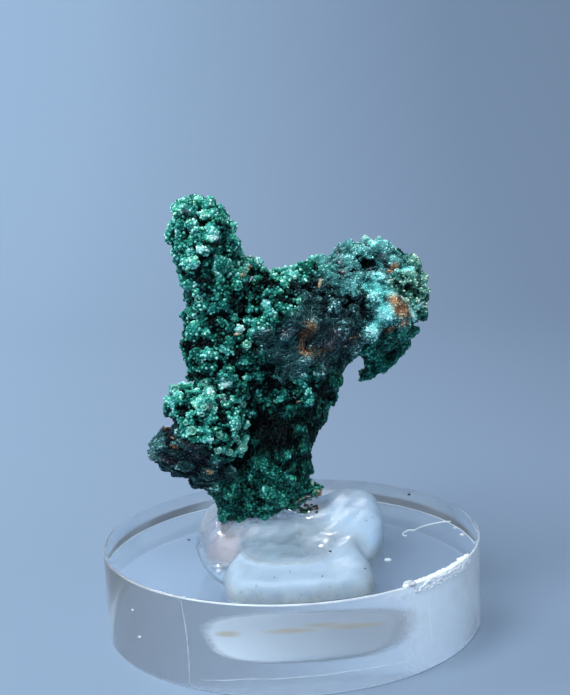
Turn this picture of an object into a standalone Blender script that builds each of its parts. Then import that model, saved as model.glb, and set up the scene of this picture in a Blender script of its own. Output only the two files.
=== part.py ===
"""A malachite specimen held by a mound of hot glue on a round clear acrylic base.

Run it with blender --background --python part.py, or from Blender's text editor.
Metres, +Z up, +Y away from the viewer. The origin is the centre of the base's underside.
"""

import math
import random

import bmesh
import bpy
import numpy as np
from mathutils import Matrix, Vector

MM = 0.001
COLLECTION = "malachite_specimen_on_base"

# ---- acrylic base ----------------------------------------------------------------------------
BASE_DIAMETER = 35 * MM
BASE_THICKNESS = 8 * MM
BASE_EDGE_BEVEL = 0.25 * MM
BASE_SIDES = 72

# ---- hot glue --------------------------------------------------------------------------------
GLUE_GAP = 0.3 * MM  # free space under the mound and around the stone's foot
GLUE_UNDERSIDE = BASE_THICKNESS + GLUE_GAP
# The mound is several runs of glue that flowed together:
# x, y, z of a run's middle and its half sizes along X, Y and Z, in millimetres.
GLUE_RUNS = {
    "front_left": (-2.7, -12.4, 9.0, 3.1, 4.0, 1.1),
    "front_middle": (0.4, -13.0, 9.0, 3.4, 4.0, 1.1),
    "front_right": (3.5, -12.4, 9.0, 3.1, 4.0, 1.1),
    "front_left_corner": (-4.0, -14.1, 9.0, 1.7, 2.1, 1.0),
    "front_right_corner": (4.9, -13.9, 9.0, 1.8, 2.1, 1.0),
    "left_film": (-5.0, -9.2, 8.7, 2.4, 4.6, 0.8),
    "pool": (0.3, -6.6, 9.3, 6.3, 6.3, 1.8),
    "seat": (-2.2, -3.0, 9.6, 4.8, 4.2, 2.4),
    "left_roll": (-5.6, -1.5, 9.2, 3.2, 4.0, 1.8),
    "back_fill": (0.5, 1.8, 9.3, 6.0, 4.2, 2.1),
    "right_roll": (5.2, 0.2, 9.9, 3.4, 4.5, 2.8),
    "right_flank": (5.2, -5.4, 9.2, 1.9, 4.2, 1.7),
}
SOCKET_TOP = 15 * MM  # the glue reaches nothing above this height
GLUE_VOXEL = 0.35 * MM
GLUE_TRIANGLES = 1100
SOCKET_TRIANGLES = 400

# ---- malachite -------------------------------------------------------------------------------
# Every limb is a chain of stations from its root to its tip, in millimetres:
# x, y, z of the middle, the half width across the limb in the XZ plane, and the half depth across it.
LIMBS = {
    "column": (
        (-2.3, -3.0, 13.2, 3.4, 2.6),
        (-1.9, -2.6, 15.0, 3.5, 3.0),
        (-1.2, -2.0, 16.8, 3.3, 3.2),
        (-0.6, -1.4, 18.8, 3.4, 3.3),
        (0.3, -0.9, 21.0, 3.8, 3.6),
        (1.1, -0.8, 23.6, 3.9, 4.0),
        (0.8, -1.4, 26.2, 4.2, 4.3),
    ),
    "foot": (
        (-5.1, -3.0, 12.2, 1.4, 2.0),
        (-3.0, -3.0, 12.3, 1.7, 2.3),
        (-0.8, -3.0, 12.9, 1.7, 2.3),
    ),
    "tower": (
        (-4.2, -2.6, 21.6, 2.8, 2.8),
        (-4.9, -3.2, 24.6, 3.3, 3.0),
        (-5.2, -3.5, 27.2, 3.2, 3.1),
        (-5.2, -3.6, 30.4, 2.6, 2.9),
        (-5.9, -3.6, 33.4, 2.6, 2.8),
        (-6.5, -3.6, 36.0, 2.7, 2.8),
        (-6.8, -3.5, 37.6, 2.3, 2.5),
        (-7.3, -3.4, 38.4, 1.7, 2.0),
    ),
    "shoulder": (
        (-4.0, -3.0, 25.6, 3.2, 3.2),
        (-1.8, -2.8, 28.4, 3.0, 3.6),
        (0.0, -2.4, 29.6, 3.0, 3.8),
    ),
    "arm": (
        (-0.6, -2.2, 29.8, 2.6, 3.6),
        (1.8, -1.6, 29.2, 3.6, 4.2),
        (4.2, -0.4, 28.8, 3.6, 4.6),
        (6.4, 1.0, 28.8, 3.7, 4.8),
        (8.6, 2.4, 29.0, 3.5, 4.8),
        (11.1, 3.2, 29.4, 2.7, 4.2),
    ),
    "crown": (
        (4.6, 5.0, 31.0, 1.7, 2.4),
        (6.6, 6.0, 31.8, 2.2, 2.8),
        (9.2, 6.2, 32.0, 2.5, 3.0),
        (11.9, 5.2, 30.9, 2.1, 2.6),
    ),
    "crest": (
        (1.0, -2.0, 31.8, 0.9, 1.5),
        (2.8, -1.4, 32.6, 0.8, 1.2),
        (4.0, -0.4, 31.8, 0.9, 1.3),
    ),
    "snout": (
        (9.8, 0.4, 28.4, 2.1, 2.5),
        (10.9, 0.2, 27.2, 1.5, 2.1),
    ),
    "chin": (
        (7.0, 2.4, 25.7, 1.2, 2.4),
        (9.0, 3.2, 25.5, 1.5, 2.2),
        (10.6, 3.6, 26.4, 1.2, 2.0),
    ),
    "tooth": (
        (8.8, 3.6, 25.0, 1.5, 1.4),
        (8.7, 3.8, 23.4, 1.1, 1.0),
        (8.1, 3.8, 22.2, 0.8, 0.7),
    ),
    "small_tooth": (
        (10.4, 3.8, 25.0, 1.0, 1.0),
        (9.9, 3.9, 23.2, 0.7, 0.7),
    ),
    "nodule": (
        (-5.6, -4.6, 19.8, 3.0, 2.6),
        (-7.2, -6.0, 20.0, 2.9, 2.6),
        (-7.6, -6.8, 20.1, 2.5, 2.0),
    ),
    "nodule_ear": (
        (-7.6, -5.0, 21.2, 1.5, 1.8),
        (-9.1, -5.2, 22.3, 1.3, 1.6),
    ),
    "shelf": (
        (-4.6, -3.2, 13.8, 1.8, 2.4),
        (-6.6, -4.0, 15.4, 1.9, 2.8),
        (-8.6, -4.8, 17.0, 1.9, 2.8),
        (-10.3, -5.2, 18.1, 1.3, 2.2),
        (-11.0, -5.2, 18.7, 0.9, 1.4),
    ),
    "shelf_spur": (
        (-9.6, -5.2, 16.8, 0.9, 1.2),
        (-10.9, -5.4, 16.7, 0.5, 0.7),
    ),
    "web": (
        (-4.6, -3.2, 34.2, 0.8, 0.9),
        (-3.2, -3.0, 34.1, 0.5, 0.7),
        (-1.8, -2.8, 33.3, 0.5, 0.8),
        (-0.6, -2.4, 32.3, 0.7, 1.0),
    ),
    "foot_flake": (
        (0.0, -2.6, 12.4, 1.0, 1.4),
        (1.6, -2.8, 12.8, 0.6, 1.1),
        (2.4, -3.0, 13.1, 0.4, 0.8),
    ),
}
# The botryoidal lumps on a limb: their mean radius and their spacing, in millimetres.
# A limb that isn't listed is bare rock.
LUMPS = {
    "column": (0.85, 2.10),
    "foot": (0.60, 1.60),
    "tower": (0.98, 2.05),
    "shoulder": (0.95, 2.05),
    "arm": (0.85, 2.10),
    "crown": (0.88, 2.10),
    "crest": (0.65, 1.40),
    "snout": (0.70, 1.70),
    "chin": (0.70, 1.70),
    "nodule": (0.90, 1.80),
    "nodule_ear": (0.75, 1.50),
    "shelf": (0.68, 1.80),
}
LUMP_SIZE_SPREAD = 0.30  # a lump's radius varies by this share either way
LUMP_SINK = 0.25  # share of a lump's radius that lies below the limb's surface
GOLDEN_ANGLE = math.pi * (3 - math.sqrt(5))
STONE_VOXEL = 0.28 * MM
STONE_TRIANGLES = 7600


def clear_scene():
    for obj in list(bpy.data.objects):
        bpy.data.objects.remove(obj)


def make_material(name, colour, roughness, transmission=0.0):
    material = bpy.data.materials.new(name)
    material.use_nodes = True
    shader = material.node_tree.nodes["Principled BSDF"]
    shader.inputs["Base Color"].default_value = (*colour, 1.0)
    shader.inputs["Roughness"].default_value = roughness
    shader.inputs["Metallic"].default_value = 0.0
    shader.inputs["Transmission Weight"].default_value = transmission
    return material


def new_collection(name):
    collection = bpy.data.collections.new(name)
    bpy.context.scene.collection.children.link(collection)
    return collection


def move_to(obj, collection):
    for owner in list(obj.users_collection):
        owner.objects.unlink(obj)
    collection.objects.link(obj)


def ball(centre, axes, half_sizes):
    """Places an ellipsoid with those half sizes along three axes at right angles."""
    turn = Matrix(axes).transposed().to_4x4()
    return Matrix.Translation(centre) @ turn @ Matrix.Diagonal((*half_sizes, 1.0))


def object_of_balls(balls, name, collection, material=None):
    """One object with an icosphere in each of those places."""
    template = bmesh.new()
    bmesh.ops.create_icosphere(template, subdivisions=2, radius=1.0)
    corners = np.array([(*vert.co, 1.0) for vert in template.verts])
    faces = np.array([[vert.index for vert in face.verts] for face in template.faces])
    template.free()
    points = np.concatenate([(corners @ np.array(place).T)[:, :3] for place in balls])
    firsts = np.arange(len(balls))[:, None, None] * len(corners)
    mesh = bpy.data.meshes.new(name)
    mesh.from_pydata(points, [], (faces + firsts).reshape(-1, 3))
    obj = bpy.data.objects.new(name, mesh)
    collection.objects.link(obj)
    if material:
        mesh.materials.append(material)
    return obj


def triangle_count(obj):
    """Triangles of obj as the viewport evaluates it."""
    graph = bpy.context.evaluated_depsgraph_get()
    evaluated = obj.evaluated_get(graph)
    mesh = evaluated.to_mesh()
    mesh.calc_loop_triangles()
    count = len(mesh.loop_triangles)
    evaluated.to_mesh_clear()
    return count


def fuse(obj, voxel):
    """Joins everything in obj's mesh into one closed skin."""
    remesh = obj.modifiers.new("fuse", "REMESH")
    remesh.mode = "VOXEL"
    remesh.voxel_size = voxel
    remesh.adaptivity = 0.0
    remesh.use_smooth_shade = True


def thin_out(obj, triangles):
    """Collapses edges until about that many triangles are left."""
    decimate = obj.modifiers.new("thin_out", "DECIMATE")
    decimate.decimate_type = "COLLAPSE"
    decimate.ratio = 1.0
    decimate.ratio = min(1.0, triangles / triangle_count(obj))


def keep_outer_skin(obj):
    """Applies obj's modifiers and removes the bubbles that they left inside."""
    graph = bpy.context.evaluated_depsgraph_get()
    mesh = bpy.data.meshes.new_from_object(obj.evaluated_get(graph))
    obj.modifiers.clear()
    obj.data = mesh
    bm = bmesh.new()
    bm.from_mesh(mesh)
    skins = loose_skins(bm)
    for skin in sorted(skins, key=len)[:-1]:
        bmesh.ops.delete(bm, geom=skin, context="VERTS")
    bm.to_mesh(mesh)
    bm.free()


def loose_skins(bm):
    """The vertices of bm in lists, one for each part that isn't joined to the others."""
    left, skins = set(bm.verts), []
    while left:
        skin, edge = [], [left.pop()]
        while edge:
            vert = edge.pop()
            skin.append(vert)
            near = {link.other_vert(vert) for link in vert.link_edges} & left
            left -= near
            edge.extend(near)
        skins.append(skin)
    return skins


# ---- limbs -----------------------------------------------------------------------------------
def limb_points(stations, step):
    """(middle, half width, half depth, direction) at even steps along a limb, in metres."""
    rows = [(Vector(s[:3]) * MM, s[3] * MM, s[4] * MM) for s in stations]
    points = []
    for (start, width_0, depth_0), (end, width_1, depth_1) in zip(rows, rows[1:]):
        direction = (end - start).normalized()
        count = max(1, math.ceil((end - start).length / step))
        for i in range(count):
            t = i / count
            width = width_0 + (width_1 - width_0) * t
            depth = depth_0 + (depth_1 - depth_0) * t
            points.append((start.lerp(end, t), width, depth, direction))
    last, width, depth = rows[-1]
    points.append((last, width, depth, points[-1][3]))
    return points


def across(direction):
    """The two directions across a limb: one in the XZ plane, and one in depth."""
    side = direction.cross(Vector((0, 1, 0))).normalized()
    return side, side.cross(direction).normalized()


def limb_core(stations):
    """The bare limb, as a close chain of ellipsoids."""
    narrowest = min(min(s[3], s[4]) for s in stations) * MM
    balls = []
    for middle, width, depth, direction in limb_points(stations, 0.6 * narrowest):
        side, away = across(direction)
        along = 0.75 * min(width, depth)
        balls.append(ball(middle, (side, direction, away), (width, along, depth)))
    return balls


def limb_lumps(name, stations, radius, spacing):
    """Lumps on a limb, wound round it at the golden angle so that they cover it evenly."""
    rng = random.Random(name)
    radius, spacing = radius * MM, spacing * MM
    points = limb_points(stations, spacing / 8)
    lumps = []
    due, turn = 0.0, rng.uniform(0, math.tau)
    previous = points[0][0]
    for middle, width, depth, direction in points:
        girth = math.pi * (width + depth)
        due += (middle - previous).length * girth / spacing**2
        previous = middle
        while due >= 1.0:
            due -= 1.0
            turn += GOLDEN_ANGLE
            lumps.append(lump(rng, middle, direction, width, depth, turn, radius))
    return lumps + tip_lumps(rng, points[-1], radius, spacing)


def lump(rng, middle, direction, width, depth, turn, radius):
    """One lump, at that turn round a limb of that width and depth."""
    side, away = across(direction)
    size = radius * rng.uniform(1 - LUMP_SIZE_SPREAD, 1 + LUMP_SIZE_SPREAD)
    out = side * (math.cos(turn) * width) + away * (math.sin(turn) * depth)
    reach = 1 - LUMP_SINK * size / out.length
    centre = middle + out * reach + direction * rng.uniform(-0.3, 0.3) * size
    squash = rng.uniform(0.8, 1.0)
    return ball(centre, (side, direction, away), (size, size * squash, size))


def tip_lumps(rng, tip, radius, spacing):
    """A rosette of lumps over the limb's tip."""
    middle, width, depth, direction = tip
    count = round(math.pi * width * depth / spacing**2)
    lumps = []
    for i in range(count):
        share = math.sqrt((i + 0.5) / count)
        lift = direction * (math.sqrt(1 - share**2) * min(width, depth) * 0.6)
        place = (middle + lift, direction, width * share, depth * share)
        lumps.append(lump(rng, *place, i * GOLDEN_ANGLE, radius))
    return lumps


# ---- the three pieces ------------------------------------------------------------------------
def stone_balls():
    """Every limb of the stone and the lumps that grew on it."""
    balls = []
    for name, stations in LIMBS.items():
        balls += limb_core(stations)
        if name in LUMPS:
            balls += limb_lumps(name, stations, *LUMPS[name])
    return balls


def build_malachite(collection):
    green = make_material("malachite_green", (0.012, 0.17, 0.11), 0.55)
    stone = object_of_balls(stone_balls(), "malachite", collection, green)
    fuse(stone, STONE_VOXEL)
    keep_outer_skin(stone)
    thin_out(stone, STONE_TRIANGLES)
    return stone


def build_foot_cutter(cutters):
    """The stone's foot, grown by the gap, which leaves its socket in the glue."""
    balls = []
    for place in stone_balls():
        centre, turn, half_sizes = place.decompose()
        if centre.z < SOCKET_TOP:
            grown = [half_size + GLUE_GAP for half_size in half_sizes]
            balls.append(ball(centre, turn.to_matrix().transposed(), grown))
    cutter = object_of_balls(balls, "foot_cutter", cutters)
    fuse(cutter, GLUE_VOXEL)
    keep_outer_skin(cutter)
    thin_out(cutter, SOCKET_TRIANGLES)
    cutter.hide_render = True
    cutter.display_type = "WIRE"
    return cutter


def build_slab_cutter(cutters):
    """The space below the glue's flat underside."""
    depth = 2 * BASE_THICKNESS
    bpy.ops.mesh.primitive_cube_add(size=1.0, location=(0, 0, GLUE_UNDERSIDE - depth / 2))
    cutter = bpy.context.object
    cutter.name = "slab_cutter"
    cutter.scale = (2 * BASE_DIAMETER, 2 * BASE_DIAMETER, depth)
    move_to(cutter, cutters)
    cutter.hide_render = True
    cutter.display_type = "WIRE"
    return cutter


def cut(obj, cutter, name):
    boolean = obj.modifiers.new(name, "BOOLEAN")
    boolean.operation = "DIFFERENCE"
    boolean.solver = "EXACT"
    boolean.object = cutter


def build_glue(collection, cutters):
    axes = (Vector((1, 0, 0)), Vector((0, 1, 0)), Vector((0, 0, 1)))
    balls = []
    for run in GLUE_RUNS.values():
        balls.append(ball(Vector(run[:3]) * MM, axes, Vector(run[3:]) * MM))
    white = make_material("cloudy_glue", (0.75, 0.80, 0.86), 0.25, 0.3)
    glue = object_of_balls(balls, "hot_glue_mound", collection, white)
    fuse(glue, GLUE_VOXEL)
    keep_outer_skin(glue)
    thin_out(glue, GLUE_TRIANGLES)
    cut(glue, build_slab_cutter(cutters), "flat_underside")
    cut(glue, build_foot_cutter(cutters), "foot_socket")
    return glue


def build_base(collection):
    bpy.ops.mesh.primitive_cylinder_add(
        vertices=BASE_SIDES,
        radius=BASE_DIAMETER / 2,
        depth=BASE_THICKNESS,
        location=(0, 0, BASE_THICKNESS / 2),
    )
    base = bpy.context.object
    base.name = "acrylic_base"
    move_to(base, collection)
    base.data.materials.append(make_material("clear_acrylic", (0.95, 0.97, 1.0), 0.03, 1.0))
    base.data.shade_smooth()
    base.data.set_sharp_from_angle(angle=math.radians(30))
    bevel = base.modifiers.new("edge", "BEVEL")
    bevel.width = BASE_EDGE_BEVEL
    bevel.segments = 1
    bevel.limit_method = "ANGLE"
    return base


def main():
    clear_scene()
    pieces = new_collection(COLLECTION)
    cutters = new_collection("cutters")
    build_base(pieces)
    build_glue(pieces, cutters)
    build_malachite(pieces)


main()
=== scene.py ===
import math
import random
from collections import namedtuple
from itertools import pairwise

import bmesh
import bpy
import numpy as np
from mathutils import Matrix, Vector, kdtree
from mathutils.bvhtree import BVHTree


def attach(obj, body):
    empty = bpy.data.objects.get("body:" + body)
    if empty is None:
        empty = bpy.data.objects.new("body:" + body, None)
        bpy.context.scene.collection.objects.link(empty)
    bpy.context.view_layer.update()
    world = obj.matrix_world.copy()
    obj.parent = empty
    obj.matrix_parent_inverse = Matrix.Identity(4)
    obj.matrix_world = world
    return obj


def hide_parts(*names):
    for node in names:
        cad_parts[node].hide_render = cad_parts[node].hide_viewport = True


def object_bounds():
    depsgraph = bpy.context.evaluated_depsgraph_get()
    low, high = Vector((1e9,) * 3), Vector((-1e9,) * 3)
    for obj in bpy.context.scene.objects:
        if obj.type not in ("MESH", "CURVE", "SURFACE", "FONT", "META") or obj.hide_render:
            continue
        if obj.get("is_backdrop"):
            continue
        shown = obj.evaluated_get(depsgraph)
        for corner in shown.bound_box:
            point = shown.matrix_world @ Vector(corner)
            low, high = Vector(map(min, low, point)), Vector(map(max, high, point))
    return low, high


MM = 0.001
UP = np.array((0.0, 0.0, 1.0))

# ---- camera ----------------------------------------------------------------------------------
FRAME_WIDTH, FRAME_HEIGHT = 570, 695
LENS = 66.91  # mm, on a 36 mm sensor along the frame's long side
SENSOR = 36.0
CAMERA_PITCH = math.radians(10.796)
CAMERA_ROLL = math.radians(-2.554)
CAMERA_AIM = Vector((0.20, 0.0, 25.73)) * MM
CAMERA_DISTANCE = 117.81 * MM

# ---- stone: the knobs that can be told apart from the front ----------------------------------
# Knobs: across and down the frame, half width and half height (all in frame pixels), tilt in
# degrees (anticlockwise), and tone from 0, black green, to 1, pale aqua
FRONT_KNOBS = (
    # tower
    (176, 206, 7, 6, 0, 0.50), (196, 202, 8, 6, 0, 0.95), (206, 204, 5, 6, 0, 0.60),
    (203, 215, 5, 5, 0, 0.80), (221, 215, 11, 7, -25, 0.66), (230, 219, 6, 4, -35, 0.55),
    (171, 221, 7, 7, 0, 0.80), (180, 230, 7, 7, 0, 0.72), (192, 224, 7, 6, 0, 0.55),
    (170, 238, 6, 6, 0, 0.30), (213, 230, 9, 7, -50, 0.66), (209, 237, 7, 4, -20, 0.95),
    (230, 231, 8, 7, 0, 0.80), (235, 226, 5, 4, 0, 0.85), (190, 243, 6, 5, 0, 0.50),
    (200, 249, 4, 4, 0, 0.60), (184, 254, 6, 5, 0, 0.45), (189, 252, 4, 4, 0, 0.85),
    (176, 251, 5, 5, 0, 0.30), (205, 254, 4, 4, 0, 0.50), (192, 263, 7, 6, 0, 0.72),
    (212, 259, 5, 4, 0, 0.60), (228, 253, 6, 5, 0, 0.25), (229, 265, 6, 6, -30, 0.60),
    (183, 274, 7, 6, 0, 0.28), (218, 271, 8, 5, -15, 0.72), (204, 272, 4, 4, 0, 0.78),
    (230, 274, 5, 4, 0, 0.65), (193, 284, 8, 6, 0, 0.68), (240, 253, 5, 3, -20, 0.75),
    (176, 262, 5, 5, 0, 0.22),
    # left of the torso
    (220, 287, 11, 8, 35, 0.50), (216, 296, 5, 4, 0, 0.80), (228, 294, 5, 5, 30, 0.85),
    (197, 294, 5, 5, 0, 0.60), (191, 311, 9, 8, 0, 0.62), (215, 309, 7, 8, -20, 0.40),
    (229, 311, 7, 4, -35, 0.75), (236, 317, 6, 4, -20, 0.85), (202, 305, 5, 5, 0, 0.40),
    (200, 323, 4, 4, 0, 0.85), (211, 323, 5, 4, 0, 0.42), (228, 329, 6, 6, 0, 0.28),
    (190, 334, 8, 6, 0, 0.80), (206, 333, 7, 6, 0, 0.75), (213, 337, 5, 4, 0, 0.70),
    (183, 328, 5, 4, 0, 0.30), (240, 329, 4, 4, 0, 0.98), (245, 345, 5, 5, 0, 0.80),
    (256, 322, 7, 5, 15, 0.72), (264, 318, 5, 4, 10, 0.85), (254, 332, 5, 4, 0, 0.70),
    (229, 352, 8, 4, -25, 0.66), (225, 350, 4, 3, 0, 0.95), (208, 353, 7, 6, 0, 0.72),
    (185, 352, 7, 7, 0, 0.48), (217, 357, 5, 4, 0, 0.80), (227, 368, 7, 6, 25, 0.80),
    (245, 361, 3, 3, 0, 0.85), (213, 373, 5, 4, 0, 0.35), (247, 378, 4, 4, 0, 0.70),
    (193, 371, 6, 5, 0, 0.25), (262, 343, 7, 5, -20, 0.30), (203, 366, 5, 4, 0, 0.40),
    # arm's near end
    (258, 263, 5, 5, 0, 0.80), (265, 268, 5, 4, -30, 0.70), (274, 277, 6, 5, 0, 0.50),
    (287, 269, 5, 4, 0, 0.80), (294, 274, 5, 4, 0, 0.75), (285, 284, 6, 5, 20, 0.82),
    (267, 293, 6, 5, 0, 0.66), (278, 292, 4, 4, 0, 0.62), (266, 303, 5, 6, 0, 0.85),
    (280, 306, 4, 5, 0, 0.70), (270, 312, 6, 4, 0, 0.80), (251, 294, 4, 4, 0, 0.60),
    (250, 308, 5, 5, 0, 0.42), (310, 272, 6, 5, 0, 0.40), (303, 283, 6, 5, 0, 0.35),
    (299, 301, 4, 4, 0, 0.60), (331, 310, 4, 4, 0, 0.85), (314, 256, 5, 5, 0, 0.75),
    # nodule
    (170, 388, 6, 5, 0, 0.60), (178, 396, 6, 5, 0, 0.85), (197, 393, 5, 5, 0, 0.95),
    (209, 391, 6, 6, 0, 1.00), (225, 384, 7, 5, 10, 1.00), (187, 403, 3, 3, 0, 0.95),
    (203, 384, 5, 4, 0, 0.70), (209, 381, 4, 3, 0, 0.85), (176, 413, 4, 4, 0, 0.90),
    (190, 415, 6, 5, 0, 0.85), (198, 413, 4, 4, 0, 0.78), (186, 422, 3, 3, 0, 0.95),
    (192, 430, 5, 5, 0, 0.62), (214, 409, 4, 4, 0, 0.72), (202, 408, 3, 3, 0, 0.70),
    (220, 435, 4, 4, 0, 0.92), (228, 415, 3, 5, 0, 0.95), (243, 405, 4, 5, 0, 0.80),
    (243, 416, 4, 6, 0, 0.82), (238, 427, 3, 3, 0, 1.00), (236, 439, 4, 4, 0, 0.95),
    (241, 449, 6, 5, 0, 0.66), (228, 451, 4, 5, 0, 0.80), (218, 450, 3, 3, 0, 0.75),
    (222, 460, 4, 3, 0, 0.72), (214, 467, 5, 2, 35, 0.70), (232, 399, 4, 4, 0, 0.85),
    (248, 398, 3, 3, 0, 0.80), (171, 401, 4, 4, 0, 0.75), (184, 388, 5, 4, 0, 0.62),
    (166, 408, 4, 5, 0, 0.30), (206, 424, 5, 4, 0, 0.40), (222, 398, 5, 4, 0, 0.60),
    # below the arm and on the column
    (258, 400, 6, 4, -10, 0.45), (268, 398, 4, 4, 0, 0.72), (283, 391, 4, 4, 0, 0.60),
    (289, 408, 6, 3, 15, 0.55), (300, 406, 5, 4, 0, 0.42), (310, 402, 5, 5, 0, 0.35),
    (284, 415, 7, 3, 25, 0.62), (303, 377, 4, 3, 0, 0.90), (314, 394, 4, 3, 0, 0.55),
    (264, 490, 4, 4, 0, 0.62), (289, 455, 4, 4, 30, 0.55), (294, 466, 4, 4, 0, 0.50),
    (250, 478, 3, 5, 0, 0.55), (268, 508, 5, 3, 0, 0.78), (283, 497, 4, 4, 0, 0.60),
    # head
    (366, 236, 5, 3, 0, 0.95), (380, 236, 4, 4, 0, 0.75), (378, 243, 6, 5, 0, 0.85),
    (350, 244, 7, 6, 0, 0.62), (404, 257, 5, 3, 0, 0.85), (418, 262, 5, 5, 0, 0.50),
    (424, 279, 5, 6, 0, 0.55), (414, 275, 4, 4, 0, 0.50), (403, 283, 4, 4, 0, 0.55),
    (413, 290, 5, 4, 0, 0.25), (424, 292, 4, 5, 0, 0.60), (420, 306, 5, 4, 40, 0.80),
    (412, 304, 4, 4, 0, 0.60), (385, 371, 5, 5, 0, 0.35), (369, 366, 5, 7, 0, 0.25),
)

# ---- stone: what grows where -----------------------------------------------------------------
# The surface takes the habit of the nearest of these places, given across and down the frame.
HABIT_PLACES = {
    "knobs": (
        (190, 205), (175, 225), (225, 220), (205, 235), (185, 258), (215, 262), (236, 260),
        (258, 264), (285, 272), (300, 272), (315, 262),
    ),
    "torso": (
        (190, 285), (215, 290), (195, 310), (228, 308), (190, 335), (215, 335), (240, 322),
        (245, 343), (210, 355), (230, 368), (190, 354), (266, 290), (282, 300), (256, 312),
        (270, 316),
    ),
    "beads": (
        (172, 390), (200, 392), (225, 386), (236, 397), (180, 410), (205, 412), (238, 412),
        (190, 430), (215, 430), (236, 430), (222, 448), (240, 450), (172, 404),
    ),
    "slate": (
        (285, 330), (310, 330), (333, 326), (350, 338), (290, 350), (322, 350), (345, 352),
        (300, 364), (325, 368), (272, 356), (282, 370), (268, 338), (310, 318),
    ),
    "small_knobs": (
        (250, 388), (270, 390), (290, 398), (300, 388), (310, 386), (262, 376), (252, 362),
        (320, 396), (222, 392),
    ),
    "bramble": ((420, 270), (412, 282), (424, 290), (408, 296), (418, 304)),
    "column": (
        (262, 425), (280, 425), (300, 422), (318, 404), (330, 385), (300, 445), (262, 450),
        (282, 450), (300, 470), (335, 372),
    ),
    "foot": (
        (225, 488), (240, 500), (262, 480), (262, 500), (285, 488), (285, 505), (305, 490),
        (245, 465), (240, 512),
    ),
    "shelf": (
        (156, 440), (172, 448), (192, 454), (208, 462), (158, 462), (182, 466), (215, 478),
        (200, 472), (222, 470), (164, 432),
    ),
    "crust": (
        (332, 250), (350, 248), (375, 246), (395, 252), (340, 268), (365, 268), (385, 272),
        (370, 290), (390, 302), (380, 316), (370, 330), (395, 318), (350, 284), (335, 282),
        (400, 268), (405, 312),
    ),
    "craggy": ((310, 292), (330, 292), (320, 306), (342, 306), (356, 300), (365, 308), (345, 318)),
    "folds": ((385, 345), (400, 336), (412, 326), (370, 346), (372, 362), (386, 362), (395, 352)),
}
# The same for the sides that the camera doesn't see, in millimetres.
HIDDEN_HABIT_PLACES = {
    "knobs": ((-6.5, 0.0, 36.5), (-5.5, 0.0, 32.5)),
    "torso": (
        (-5.0, 0.2, 28.0), (-4.0, 1.0, 24.0),
        (-1.0, 2.4, 28.5), (2.5, 3.4, 28.5), (5.5, 5.5, 28.0), (9.5, 7.5, 28.0),
    ),
    "small_knobs": ((0.5, 2.8, 24.0), (13.0, 4.5, 29.0), (12.0, 6.5, 31.5), (-6.0, -1.5, 20.0)),
    "crust": ((4.5, 7.5, 31.0), (8.5, 8.5, 32.0), (9.0, 6.0, 34.5)),
    "column": ((0.0, 2.4, 20.0), (-1.0, 1.4, 17.0), (3.5, 1.0, 21.0), (4.0, 1.0, 24.0)),
    "foot": ((-1.5, 0.5, 14.5), (-4.0, -0.5, 12.5)),
    "shelf": ((-9.0, -2.4, 17.5), (-6.5, -2.0, 15.0)),
    "folds": ((8.0, 2.0, 24.5), (9.0, 5.0, 24.0), (6.5, 0.5, 25.2)),
}
BORDER_SWELL, BORDER_REACH = 1.3 * MM, 0.6 * MM  # how habits' borders wander: how wide, how far
BORDER_SEEDS = (31, 32, 33)
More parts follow.
